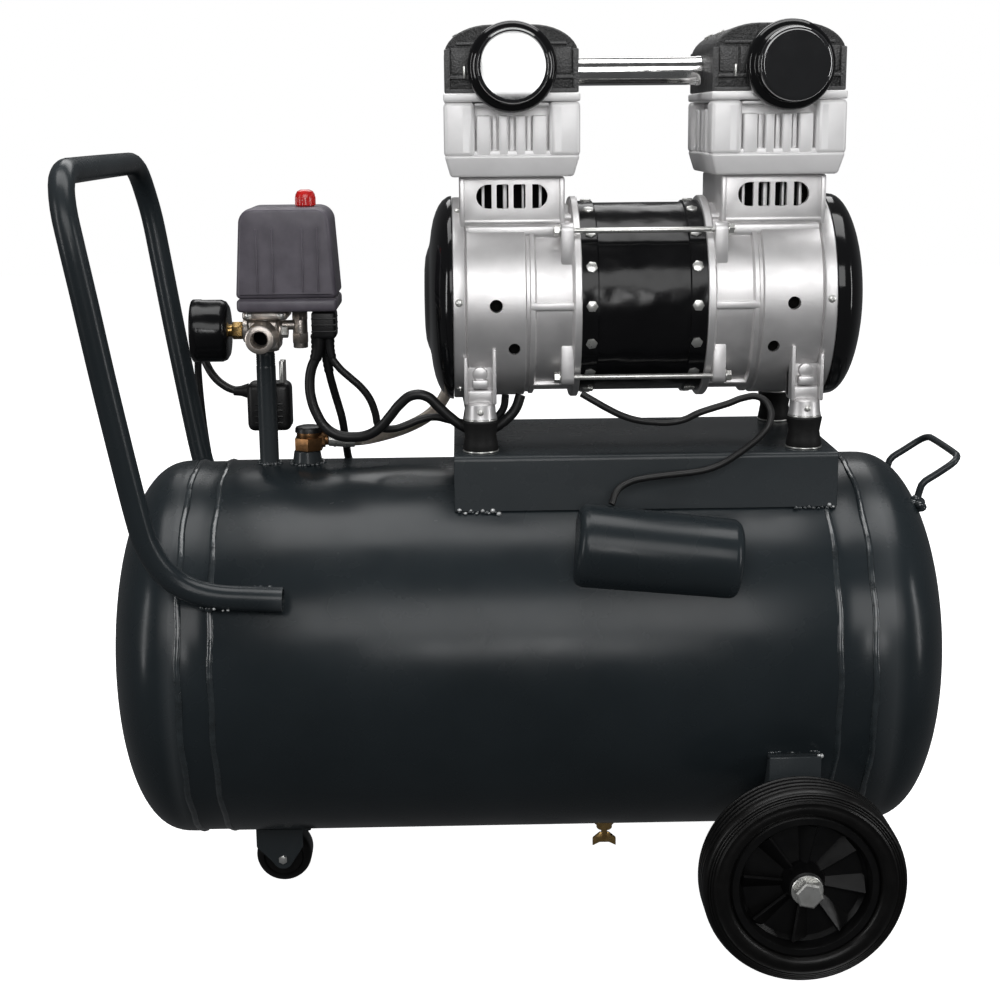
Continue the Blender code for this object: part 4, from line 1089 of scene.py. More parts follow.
@dataclass
class BraidedHose:
    """The delivery hose: a braided sleeve with a crimped ferrule at each end."""

    radius: float = 0.0048
    sides: int = 20
    strands: float = 10.0
    route: list[Point] = field(default_factory=lambda: [
        (-0.1610, 0.000, 0.3738), (-0.1430, 0.001, 0.3725), (-0.1260, 0.006, 0.3735),
        (-0.1000, 0.018, 0.3790),
        (-0.0790, 0.030, 0.3890), (-0.0665, 0.045, 0.4050), (-0.0640, 0.064, 0.4230),
        (-0.0620, 0.084, 0.4480),
        (-0.0540, 0.096, 0.4900), (-0.0440, 0.100, 0.5500), (-0.0400, 0.100, 0.6050),
        (-0.0400, 0.096, 0.6380),
        (-0.0400, 0.085, 0.6570), (-0.0400, 0.072, 0.6610), (-0.0400, 0.0609, 0.6610),
    ])

    def build(self) -> None:
        """Makes the sleeve and its ferrules."""
        points = smooth_route(self.route, 0.004)
        sleeve = self.sleeve(points)
        first, last = points[:6], points[-6:]
        ends = Shape()
        for run in (first, last):
            ends.sweep(run, self.radius * 1.22, 24)
            ends.sweep([run[1], run[1].lerp(run[2], 0.4)], self.radius * 1.32, 24)
            ends.sweep([run[3], run[3].lerp(run[4], 0.4)], self.radius * 1.32, 24)
        ferrules = ends.finish("hose_ferrules", ZINC, slot="delivery_hose")

    def sleeve(self, points: Sequence[Vector]) -> Piece:
        """The braided tube, with a UV map that runs round and along it.

        Args:
            points: The line that it follows.

        Returns:
            The sleeve.
        """
        mesh = bmesh.new()
        rings = []
        side = Vector((0, 0, 1))
        for i, point in enumerate(points):
            ahead = (points[min(i + 1, len(points) - 1)] - points[max(i - 1, 0)]).normalized()
            side = (side - ahead * side.dot(ahead)).normalized()
            place = on_plane(point, side, ahead.cross(side))
            rings.append(bmesh.ops.create_circle(
                mesh, cap_ends=False, segments=self.sides, radius=self.radius, matrix=place,
            )["verts"])
        where = {vert: (i, j) for i, ring in enumerate(rings) for j, vert in enumerate(ring)}
        for first, second in zip(rings, rings[1:]):
            edges = [e for e in {e for v in first + second for e in v.link_edges}
                     if len({where[v][0] for v in e.verts}) == 1]
            bmesh.ops.bridge_loops(mesh, edges=edges)
        bmesh.ops.contextual_create(mesh, geom=rings[0])
        bmesh.ops.contextual_create(mesh, geom=rings[-1])
        bmesh.ops.recalc_face_normals(mesh, faces=mesh.faces)
        layer = mesh.loops.layers.uv.new("UVMap")
        step = route_length(points) / (len(points) - 1) / (TURN * self.radius) * self.strands
        for face in mesh.faces:
            turns = [where[loop.vert][1] for loop in face.loops]
            wraps = max(turns) - min(turns) > self.sides / 2
            for loop in face.loops:
                i, j = where[loop.vert]
                j += self.sides if wraps and j == 0 else 0
                loop[layer].uv = (j / self.sides * self.strands, i * step)
        shape = Shape()
        shape.mesh.free()
        shape.mesh = mesh
        return shape.finish("delivery_hose_sleeve", BRAIDED_STEEL, replaces=["delivery_hose"], angle=60)


@dataclass
class PumpLeads:
    """The black cables between the switch, the pump and the capacitor."""

    pump_route: list[Point] = field(default_factory=lambda: [
        (-0.1660, -0.0150, 0.4550), (-0.1670, -0.0150, 0.4450), (-0.1725, -0.0150, 0.4300),
        (-0.1735, -0.0155, 0.4130),
        (-0.1690, -0.0170, 0.3975), (-0.1630, -0.0180, 0.3870), (-0.1500, -0.0200, 0.3795),
        (-0.1305, -0.0220, 0.3800),
        (-0.1165, -0.0250, 0.3890), (-0.1035, -0.0280, 0.4050), (-0.0877, -0.0300, 0.4140),
        (-0.0738, -0.0300, 0.4040),
        (-0.0573, -0.0300, 0.3895), (-0.0400, -0.0300, 0.3830), (-0.0240, -0.0300, 0.3900),
        (-0.0130, -0.0290, 0.4010),
        (-0.0090, -0.0280, 0.4117),
    ])
    motor_route: list[Point] = field(default_factory=lambda: [
        (0.0345, -0.0790, 0.4200), (0.0420, -0.0810, 0.4160), (0.0498, -0.0815, 0.4110),
        (0.0708, -0.0810, 0.4010),
        (0.0925, -0.0800, 0.3975), (0.1090, -0.0800, 0.3985), (0.1240, -0.0810, 0.4050),
        (0.1445, -0.0820, 0.4115),
        (0.1600, -0.0840, 0.4170), (0.1700, -0.0880, 0.4155), (0.1745, -0.0920, 0.4080),
        (0.1735, -0.0950, 0.3980),
        (0.1665, -0.0960, 0.3885), (0.1540, -0.0950, 0.3780), (0.1380, -0.0940, 0.3675),
        (0.1220, -0.0940, 0.3625),
        (0.0970, -0.0950, 0.3600), (0.0800, -0.0960, 0.3580), (0.0645, -0.0990, 0.3540),
        (0.0575, -0.1025, 0.3465),
        (0.0553, -0.1058, 0.3408),
    ])
    earth_route: list[Point] = field(default_factory=lambda: [
        (-0.1577, -0.0140, 0.4550), (-0.1570, -0.0140, 0.4435), (-0.1495, -0.0140, 0.4316),
        (-0.1340, -0.0130, 0.4170),
        (-0.1254, -0.0110, 0.4035), (-0.1225, -0.0090, 0.3915), (-0.1200, -0.0070, 0.3840),
        (-0.1110, -0.0030, 0.3815),
        (-0.0960, 0.0000, 0.3850), (-0.0800, 0.0020, 0.3900), (-0.0600, 0.0030, 0.3860),
        (-0.0400, 0.0030, 0.3830),
        (-0.0240, 0.0030, 0.3920), (-0.0200, 0.0030, 0.4070),
    ])

    def build(self) -> None:
        """Makes the three cables."""
        Cord("pump_cable_lead", self.pump_route, 0.0080, ("pump_cable",)).build()
        Cord("motor_cable_lead", self.motor_route, 0.0052, ("motor_cable",)).build()
        Cord("earth_cable_lead", self.earth_route, 0.0060, ()).build()


@dataclass
class MainsPlug:
    """A moulded mains plug with round pins."""

    pin_radius: float = 0.0024
    pin_length: float = 0.019

    def build(self) -> Piece:
        """Makes the plug and returns its body."""
        low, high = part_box("mains_plug")
        top = high.z - self.pin_length + 0.002
        shape = Shape().block(low, (high.x, high.y, top), 0.0055, 4)
        ridge = (low.x + 0.006, low.y - 0.0004, low.z + 0.006)
        for i in range(4):
            shape.block(
                (ridge[0], low.y - 0.0002, ridge[2] + 0.005 * i),
                (high.x - 0.006, high.y + 0.0002, ridge[2] + 0.005 * i + 0.002), 0.0006,
            )
        shape.lathe(
            [(0.0, 0.012), (0.0036, 0.012), (0.0042, 0.006), (0.0062, 0.0), (0.0, 0.0)],
            (low.x + 0.0005, 0.0240, 0.4095), (-1, 0, 0), 24,
        )
        body = shape.finish("mains_plug_body", BLACK_PLASTIC, replaces=["mains_plug"])
        pins = Shape()
        for y in (0.019, 0.029):
            pins.rod((-0.1985, y, top - 0.004), (-0.1985, y, high.z), self.pin_radius, 16, rounding=0.0007)
        pins.finish("mains_plug_pins", ZINC, slot="mains_plug")
        return body


# -------------------------------------------------------------------- tank


@dataclass
class Tank:
    """The welded receiver with its wheel brackets and sockets."""

    end_depth: float = 0.058
    fullness: float = 0.90
    flatness: float = 0.80
    wall: float = 0.003
    step: float = 0.0009
    bead: float = 0.0019
    left_seams: Flat = (-0.2655, -0.2415)
    right_seams: Flat = (0.2215, 0.2480)
    steps: int = 144
    bracket_half: float = 0.0195

    def __post_init__(self) -> None:
        """Reads the tank's place from the frame."""
        low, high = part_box("tank_end_left")
        self.radius = (high.z - low.z) / 2
        self.axis = (high.z + low.z) / 2
        self.seams_x = (high.x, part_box("tank_end_right")[0].x)

    def build(self) -> None:
        """Makes the barrel, its ends, seams, brackets and sockets."""
        self.barrel()
        self.ends()
        self.seams()
        for side in (-1, 1):
            self.bracket(side)
        self.sockets()

    def barrel(self) -> None:
        """The rolled shell, with a joggled band beside each seam."""
        r, s = self.radius, self.step
        left, right = self.seams_x
        outer = [(r, left), (r, self.left_seams[0])]
        outer += [
            (r - s, self.left_seams[0] + 0.002), (r - s, self.left_seams[1] - 0.002),
            (r, self.left_seams[1]),
        ]
        outer += [(r, x) for x in (-0.12, 0.0, 0.12)]
        outer += [
            (r, self.right_seams[0]), (r - s, self.right_seams[0] + 0.002),
            (r - s, self.right_seams[1] - 0.002),
        ]
        outer += [(r, self.right_seams[1]), (r, right)]
        inner = [(r - self.wall, right), (r - self.wall, left)]
        Shape().lathe(outer + inner, (0, 0, self.axis), X_AXIS, self.steps, ring=True).finish(
            "tank_shell", SLATE_PAINT, replaces=["tank_barrel"], angle=50,
        )

    def ends(self) -> None:
        """The two dished ends."""
        for name, side, seam in (
            ("tank_end_left", -1, self.seams_x[0]), ("tank_end_right", 1, self.seams_x[1]),
        ):
            outer = self.dome(self.radius, self.end_depth, 28)
            inner = self.dome(self.radius - self.wall, self.end_depth - self.wall, 12)[::-1]
            Shape().lathe(outer + inner, (seam, 0, self.axis), (side, 0, 0), self.steps).finish(
                f"{name}_dish", SLATE_PAINT, replaces=[name], angle=60,
            )

    def dome(self, radius: float, depth: float, count: int) -> list[Flat]:
        """A dished end's section from its pole to its rim."""
        points = []
        for i in range(count + 1):
            angle = math.radians(90 * i / count)
            across = radius * math.sin(angle) ** self.fullness if i else 0.0
            points.append((across, depth * math.cos(angle) ** self.flatness if i < count else 0.0))
        return points

    def seams(self) -> None:
        """The rippled weld beads round the tank."""
        beads = Shape()
        for x in (*self.left_seams, *self.right_seams):
            ring = Shape().lathe(
                [(self.radius - 0.0012 + self.bead * math.sin(a), 1.5 * self.bead * math.cos(a))
                 for a in degrees(0, 360, 45)],
                (x, 0, self.axis), X_AXIS, 300, ring=True,
            )
            self.ripple(ring.mesh, x)
            beads.join(ring)
        beads.finish("tank_seam_beads", WELD_PAINT, slot="tank_barrel", angle=80)

    def ripple(self, mesh: Mesh, phase: float) -> None:
        """Makes a smooth bead uneven round the tank."""
        for vert in mesh.verts:
            turn = math.atan2(vert.co.y, vert.co.z - self.axis)
            fine, coarse = math.sin(61 * turn + 40 * phase), math.sin(23 * turn + 90 * phase)
            swell = fine * 0.35 + coarse * 0.4 + math.sin(7 * turn) * 0.25
            out = Vector((0.0, vert.co.y, vert.co.z - self.axis)).normalized()
            vert.co += out * (0.00035 * swell) + X_AXIS * (0.0005 * math.sin(17 * turn + 11 * phase))

    def bracket(self, side: int) -> None:
        """A channel that holds one wheel's bolt, with its weld.

        Args:
            side: -1 for the front, 1 for the back.
        """
        name = "front" if side < 0 else "back"
        x = middle(f"wheel_hub_{name}").x
        half = self.bracket_half
        shape = Shape().block((x - half, side * 0.146, 0.055), (x + half, side * 0.150, 0.156), 0.0012)
        shape.block((x - half, side * 0.130, 0.152), (x + half, side * 0.149, 0.156), 0.0012)
        for edge in (x - half + 0.0005, x + half - 0.0045):
            shape.block((edge, side * 0.090, 0.060), (edge + 0.004, side * 0.148, 0.154), 0.0008)
        shape.finish(f"wheel_bracket_{name}", SLATE_PAINT, slot="tank_barrel")
        line = [(x - half + 0.003 * i, side * 0.1405, 0.1572) for i in range(14)]
        Shape().blobs(line, 0.0021, 5 + side).finish(
            f"wheel_bracket_weld_{name}", WELD_PAINT, slot="tank_barrel", angle=80,
        )
        # Spatter beside the weld, light grey as a painted glint.
        if side < 0:
            glint_speck = [(x + half - 0.002, side * 0.148, 0.157), (x + half + 0.0005, side * 0.147, 0.1555)]
            Shape().blobs(glint_speck, 0.0016, 3).finish(
                "wheel_bracket_spatter_glints", GLINTING_SPATTER, slot="tank_barrel", angle=80,
            )

    def sockets(self) -> None:
        """The threaded sockets and the welds round them."""
        top = self.axis + self.radius
        check, drain, riser = middle("check_valve"), middle("drain_valve"), middle("riser_pipe")
        check_x = check.x - 0.004
        shape = Shape().lathe(
            [(0.0, 0.010), (0.0098, 0.010), (0.0105, 0.0093), (0.0128, -0.006), (0.0, -0.006)],
            (check_x, 0, top), Z_AXIS, 40,
        )
        shape.lathe(
            [(0.0065, 0.010), (0.0115, 0.010), (0.012, 0.0095), (0.012, 0.0), (0.0065, 0.0)],
            (drain.x, 0, 0.050), Z_AXIS, 40, ring=True,
        )
        shape.finish("tank_sockets", SLATE_PAINT, slot="tank_barrel")
        welds = Shape()
        for x, reach in ((check_x, 0.0130), (riser.x, 0.0084)):
            ring = []
            for a in (TURN * i / 22 for i in range(22)):
                across = reach * math.sin(a)
                ring.append((x + reach * math.cos(a), across, top + 0.0004 - 0.5 * across**2 / self.radius))
            welds.blobs(ring, 0.0019, 11)
        welds.finish("tank_socket_welds", WELD_PAINT, slot="tank_barrel", angle=80)


@dataclass
class Saddle:
    """The bent plate under the pump, with its corner welds."""

    half: float = 0.083
    wall: float = 0.003
    skirt: float = 0.0427
    bend: float = 0.0045

    def build(self) -> None:
        """Makes the plate, its welds and its spatter, which is light grey as a painted glint."""
        low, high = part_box("saddle_plate")
        half, top, drop = self.half, high.z, self.skirt
        outer = [(half, -drop), *arc((half - self.bend, -self.bend), self.bend, 0, 90, 6)]
        inner_bend = self.bend - self.wall
        inner = [(half - self.wall, -drop), *arc((half - self.bend, -self.bend), inner_bend, 0, 90, 4)]
        section = outer + [(-x, z) for x, z in outer[::-1]] + [(-x, z) for x, z in inner] + inner[::-1]
        place = on_plane((low.x, 0, top), Y_AXIS, Z_AXIS)
        Shape().prism(section, place, high.x - low.x, 0.0005, 1).finish(
            "saddle_channel", SLATE_PAINT, replaces=["saddle_plate"], angle=40,
        )
        foot = top - drop
        line = [(x, -half - 0.0002, foot - 0.0004) for x in self.steps(low.x + 0.004, high.x - 0.004, 0.0034)
                if x < low.x + 0.034 or x > high.x - 0.034]
        Shape().blobs(line, 0.0017, 21).finish("saddle_welds", WELD_PAINT, slot="saddle_plate", angle=80)
        # Spatter along the skirt's foot, light grey as a painted glint.
        glint_spots = [(low.x + 0.004 + 0.0042 * i, -half - 0.0010, foot + 0.0012 * (-1) ** i) for i in range(8)]
        glint_spots += [(high.x - 0.006, -half - 0.0008, foot + 0.002), (high.x - 0.003, -half - 0.0006, foot)]
        Shape().blobs(glint_spots, 0.0016, 8).finish("saddle_spatter_glints", GLINTING_SPATTER, slot="saddle_plate", angle=80)

    @staticmethod
    def steps(start: float, end: float, step: float) -> list[float]:
        """Evenly spaced numbers from start to end."""
        count = int((end - start) / step)
        return [start + step * i for i in range(count + 1)]


@dataclass
class TubeWork:
    """The push handle and the lifting bail."""

    handle_radius: float = 0.0092
    handle_wall: float = 0.0016
    bail_radius: float = 0.0028
    handle_side: list[Point] = field(default_factory=lambda: [
        (-0.187, 0.1412, 0.2810), (-0.210, 0.1405, 0.2820), (-0.236, 0.1398, 0.2838),
        (-0.256, 0.1398, 0.2900),
        (-0.271, 0.1415, 0.3020), (-0.281, 0.1440, 0.3190), (-0.2875, 0.1465, 0.3430),
        (-0.3030, 0.1525, 0.4325),
        (-0.3140, 0.1565, 0.5020), (-0.3200, 0.1585, 0.5390), (-0.3245, 0.1550, 0.5620),
        (-0.3275, 0.1440, 0.5790),
        (-0.3290, 0.1250, 0.5870), (-0.3291, 0.0950, 0.5880),
    ])
    bail_side: list[Point] = field(default_factory=lambda: [
        (0.2992, 0.050, 0.3285), (0.3005, 0.050, 0.3350), (0.3035, 0.050, 0.3420), (0.3140, 0.050, 0.3490),
        (0.3260, 0.049, 0.3570), (0.3307, 0.043, 0.3605), (0.3320, 0.030, 0.3615),
    ])

    @staticmethod
    def both(side: Sequence[Point]) -> list[Point]:
        """A route from the front end to its mirror image at the back."""
        return [(x, -y, z) for x, y, z in side] + list(side[::-1])

    def build(self) -> None:
        """Makes both tubes and their welds."""
        self.handle()
        self.bail()

    def handle(self) -> None:
        """The bent tube, with its hollow ends open."""
        line = smooth_route(self.both(self.handle_side), 0.008)
        tube = Shape().sweep(line, self.handle_radius, 28)
        for first, second in ((line[0], line[1]), (line[-1], line[-2])):
            inward = (second - first).normalized()
            bore = self.handle_radius - self.handle_wall
            tube.cut(Shape().rod(first - inward * 0.004, first + inward * 0.03, bore, 28))
        tube.finish("push_handle_tube", SLATE_PAINT, replaces=["push_handle"], angle=50)
        welds = Shape()
        for side in (-1, 1):
            run = [(x, side * 0.1360, 0.2745) for x in Saddle.steps(-0.246, -0.190, 0.0036)]
            run += [(x, side * 0.1316, 0.2870) for x in Saddle.steps(-0.240, -0.194, 0.0036)]
            welds.blobs(run, 0.0028, 31 + side)
        welds.finish("push_handle_welds", WELD_PAINT, slot="push_handle", angle=80)
        # Spatter by the front weld, light grey as a painted glint.
        glint_spots = [(-0.2360, -0.1475, 0.2762), (-0.2300, -0.1470, 0.2752), (-0.2265, -0.1465, 0.2750)]
        Shape().blobs(glint_spots, 0.0012, 9).finish("push_handle_spatter_glints", GLINTING_SPATTER, slot="push_handle", angle=80)

    def bail(self) -> None:
        """The bent rod at the wheeled end, with a blob of weld at each foot."""
        line = smooth_route(self.both(self.bail_side), 0.004)
        Shape().sweep(line, self.bail_radius, 16).finish(
            "lifting_bail_rod", SLATE_PAINT, replaces=["lifting_bail"], angle=50,
        )
        feet = []
        for side in (-1, 1):
            feet += [
                (0.2985, side * 0.050, 0.3290), (0.2990, side * 0.0545, 0.3265),
                (0.3010, side * 0.047, 0.3255),
            ]
            feet += [
                (0.2965, side * 0.0500, 0.3275), (0.3010, side * 0.0520, 0.3225),
                (0.2990, side * 0.0480, 0.3215),
            ]
        Shape().blobs(feet, 0.0042, 14).finish(
            "lifting_bail_welds", WELD_PAINT, slot="lifting_bail", angle=80,
        )


@dataclass
class CapacitorHousing:
    """The pressed half-round cover on the tank's shoulder."""

    length: float = 0.1225
    radius: float = 0.0313
    corner: float = 0.0075
    height_angle: float = 41.5
    slope: float = 7.0
    depth: float = 0.028

    def build(self) -> None:
        """Makes the cover and the weld along its lower edge."""
        axis, radius = middle("tank_end_left").z, 0.150
        lean_angle = math.radians(self.height_angle)
        seat = Vector((0.089, -radius * math.cos(lean_angle), axis + radius * math.sin(lean_angle)))
        place = (
            Matrix.Translation(seat) @ Matrix.Rotation(math.radians(self.slope), 4, "Y")
            @ Matrix.Rotation(math.radians(90 - self.height_angle), 4, "X")
            @ Matrix.Rotation(math.radians(90), 4, "Z") @ Matrix.Rotation(math.radians(90), 4, "X")
        )
        half = self.length / 2
        section = [
            (self.radius, -self.depth), *arc((0, 0), self.radius, 0, 180, 28), (-self.radius, -self.depth),
        ]
        foot = place @ Matrix.Translation((0, 0, -half))
        Shape().prism(section, foot, self.length, self.corner, 5, 45).finish(
            "capacitor_cover", SLATE_PAINT, replaces=["capacitor_housing"], angle=50,
        )
        heights = Saddle.steps(-half + 0.006, half - 0.006, 0.0040)
        line = [place @ Vector((-self.radius - 0.0002, -0.0085, z)) for z in heights]
        Shape().blobs(line, 0.0017, 17).finish(
            "capacitor_weld", WELD_PAINT, slot="capacitor_housing", angle=80,
        )


# ------------------------------------------------------------------ wheels


@dataclass
class Wheel:
    """A ribbed rubber tyre on a hub with slanted vanes, on its bolt."""

    name: str
    side: int
    radius: float = 0.075
    width: float = 0.038
    inner: float = 0.055
    vanes: int = 8

    def build(self) -> None:
        """Makes the tyre, the hub and the bolt."""
        self.place = middle(f"tyre_{self.name}")
        self.out = Vector((0, self.side, 0))
        self.body = f"wheel_{self.name}"
        self.tyre()
        self.hub()
        self.bolt()

    def tyre(self) -> None:
        """The tyre, with fine rings on its shoulders and grooves in its tread."""
        half = self.width / 2
        shoulder = []
        for i in range(6):
            r = self.inner + 0.0025 + 0.0013 * i
            shoulder.append((r, half - 0.0014 + 0.0013 * math.sin(math.pi * (i + 1) / 7)))
        shoulder += [
            (self.inner + 0.0107, half - 0.0004), (self.inner + 0.0113, half),
            (self.inner + 0.0120, half - 0.0006),
        ]
        for i in range(3):
            r = self.inner + 0.0128 + 0.0017 * i
            sink = 0.0008 + 0.0007 * i
            shoulder += [(r, half - 0.0004 - sink), (r + 0.0005, half - sink), (r + 0.0010, half - sink)]
        tread = [(self.radius - 0.0014, half - 0.0038), (self.radius - 0.0003, half - 0.0062)]
        for i in range(4):
            y = half - 0.0095 - 0.0063 * i
            tread += [
                (self.radius - 0.00005, y + 0.0016), (self.radius - 0.0014, y + 0.0010),
                (self.radius - 0.0014, y - 0.0010), (self.radius - 0.00005, y - 0.0016),
            ]
        other = [(r, -y) for r, y in shoulder[::-1]]
        profile = [
            (self.inner, half - 0.0030), (self.inner + 0.0020, half - 0.0012), *shoulder, *tread[:2],
            *tread[2:],
        ]
        profile += [(self.radius - 0.0003, -half + 0.0062), (self.radius - 0.0014, -half + 0.0038), *other]
        profile += [(self.inner + 0.0020, -half + 0.0012), (self.inner, -half + 0.0030)]
        Shape().lathe(profile, self.place, Y_AXIS, 128, ring=True).finish(
            f"tyre_{self.name}_tread", TYRE_RUBBER, self.body, [f"tyre_{self.name}"], angle=60,
        )

    def hub(self) -> None:
        """The moulded hub: rim, dished web, boss and slanted vanes."""
        rim = self.inner - 0.0004
        profile = [
            (0.0066, 0.0185), (0.0112, 0.0185), (0.0125, 0.0175), (0.0145, 0.0105), (0.0165, 0.0040),
            (0.0440, 0.0030), (0.0468, 0.0060),
            (0.0480, 0.0148), (0.0488, 0.0160), (rim - 0.0012, 0.0160), (rim, 0.0150), (rim, -0.0150),
            (rim - 0.0012, -0.0160),
            (0.0488, -0.0160), (0.0480, -0.0148), (0.0468, -0.0060), (0.0440, -0.0030), (0.0165, -0.0040),
            (0.0125, -0.0175), (0.0112, -0.0185), (0.0066, -0.0185),
        ]
        shape = Shape().lathe(profile, self.place, Y_AXIS, 96, ring=True)
        outline = [(0.0150, -0.0012), (0.0450, -0.0032), (0.0455, 0.0022), (0.0150, 0.0014)]
        for face in (-1, 1):
            for i in range(self.vanes):
                turn = Matrix.Rotation(TURN * i / self.vanes, 4, "Y")
                slant = Matrix.Rotation(math.radians(38 * face), 4, "X")
                shift = Matrix.Translation((0, face * 0.0050, 0))
                place = Matrix.Translation(self.place) @ turn @ shift @ slant
                place = place @ on_plane((0, 0, 0), X_AXIS, Z_AXIS)
                shape.prism(
                    [(x, 3.2 * z) for x, z in outline], place @ Matrix.Translation((0, 0, -0.001)), 0.0022,
                    0.0004, 1,
                )
        shape.finish(f"wheel_hub_{self.name}_vanes", HUB_PLASTIC, self.body, [f"wheel_hub_{self.name}"])

    def bolt(self) -> None:
        """The hexagon bolt, its washer and the spacer behind the wheel."""
        low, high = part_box(f"axle_bolt_{self.name}")
        end = high.y if self.side > 0 else -low.y
        x, z = self.place.x, self.place.z
        shape = Shape().rod((x, self.side * 0.141, z), (x, self.side * (end - 0.008), z), 0.006, 24)
        shape.lathe([(0.0, 0.0012), (0.0112, 0.0012), (0.0117, 0.0007), (0.0117, 0.0), (0.0, 0.0)],
                    (x, self.side * (end - 0.0105), z), self.out, 36)
        shape.bolt((x, self.side * (end - 0.0094), z), self.out, 0.0205, 0.0080, turn=18)
        shape.rod((x, self.side * 0.1503, z), (x, self.side * 0.1646, z), 0.009, 32, rounding=0.0006)
        shape.finish(f"axle_bolt_{self.name}_hex", ZINC, replaces=[f"axle_bolt_{self.name}"])


@dataclass
class Caster:
    """The small trailing wheel under the tank's other end."""

    cheek_half: float = 0.0195
    cheek: float = 0.0022

    def build(self) -> None:
        """Makes the plate, the fork, the wheel and the axle."""
        low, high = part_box("caster_plate")
        plate = Shape().block(low, high, 0.0008)
        for x in (low.x + 0.006, high.x - 0.006):
            for y in (low.y + 0.006, high.y - 0.006):
                plate.bolt((x, y, low.z), (0, 0, -1), 0.0075, 0.0030)
        plate.finish("caster_mounting_plate", SLATE_PAINT, replaces=["caster_plate"])
        self.fork()
        self.wheel()

    def fork(self) -> None:
        """A folded fork with rounded cheeks, its axle and the swivel's race."""
        low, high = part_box("caster_fork")
        wheel = middle("caster_wheel")
        top, out = high.z - 0.0022, self.cheek_half
        shape = Shape().block((low.x, -out, top - 0.0030), (high.x, out, top), 0.0008)
        lobe = arc((wheel.x, wheel.z - 0.0005), 0.0082, 200, 340, 8)
        outline = [
            (low.x, top - 0.001), (low.x, top - 0.0175), *lobe, (high.x, top - 0.0175),
            (high.x, top - 0.001),
        ]
        for y in (-out, out - self.cheek):
            shape.prism(outline, on_plane((0, y + self.cheek, 0), X_AXIS, Z_AXIS), self.cheek, 0.0005, 1)
        shape.lathe(
            [(0.0, 0.0022), (0.0105, 0.0022), (0.0125, 0.0), (0.0, 0.0)], (-0.204, 0, top), Z_AXIS, 32,
        )
        shape.finish("caster_fork_folded", SLATE_PAINT, "caster_swivel", ["caster_fork"])
        axle = Shape().rod((wheel.x, -0.0198, wheel.z), (wheel.x, 0.0198, wheel.z), 0.0032, 20)
        axle.bolt((wheel.x, -out, wheel.z), (0, -1, 0), 0.0074, 0.0018)
        axle.bolt((wheel.x, out, wheel.z), (0, 1, 0), 0.0074, 0.0018)
        axle.finish("caster_axle", ZINC, "caster_swivel", slot="caster_fork")

    def wheel(self) -> None:
        """The roller, with a rounded tread and a dished face."""
        place = middle("caster_wheel")
        low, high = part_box("caster_wheel")
        radius, half = (high.z - low.z) / 2 - 0.0003, 0.0148
        shoulder = [
            (radius - 0.005 + 0.005 * math.cos(a), half - 0.0075 + 0.0058 * math.sin(a))
            for a in map(math.radians, (70, 50, 30, 12))
        ]
        side = [
            (0.0038, half), (0.0085, half), (0.0095, half - 0.002), (0.0155, half - 0.002),
            (0.0165, half - 0.0005), (0.0185, half - 0.0012), *shoulder, (radius, 0.004),
        ]
        profile = side + [(r, -y) for r, y in side[::-1]]
        Shape().lathe(profile, place, Y_AXIS, 64, ring=True).finish(
            "caster_roller_tread", TYRE_RUBBER, "caster_roller", ["caster_wheel"], angle=50,
        )


# -------------------------------------------------------------------- pump


@dataclass
class Motor:
    """The stator's shell between the crankcases, with its rings of bolts."""

    bolts: int = 16
    ring_inset: float = 0.0072

    def build(self) -> None:
        """Makes the shell and its bolts."""
        low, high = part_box("motor_stator")
        centre = middle("motor_stator")
        half, radius = (high.x - low.x) / 2, (high.z - low.z) / 2 - 0.0008
        profile = [
            (radius, half), (radius, half - 0.0118), (radius - 0.0014, half - 0.0128),
            (radius - 0.0014, -half + 0.0128),
            (radius, -half + 0.0118), (radius, -half), (0.0585, -half), (0.0585, half),
        ]
        Shape().lathe(profile, centre, X_AXIS, 160, ring=True).finish(
            "stator_shell", STATOR_BLACK, replaces=["motor_stator"], angle=50,
        )
        bolts = Shape()
        for x in (centre.x - half + self.ring_inset, centre.x + half - self.ring_inset):
            for i in range(self.bolts):
                angle = TURN * i / self.bolts
                out = Vector((0, math.cos(angle), math.sin(angle)))
                bolts.bolt(
                    Vector((x, centre.y, centre.z)) + out * (radius - 0.0022), out, 0.0088, 0.0022, 0.0050,
                    turn=11 * i,
                )
        bolts.finish("stator_bolts", ZINC, slot="motor_stator")


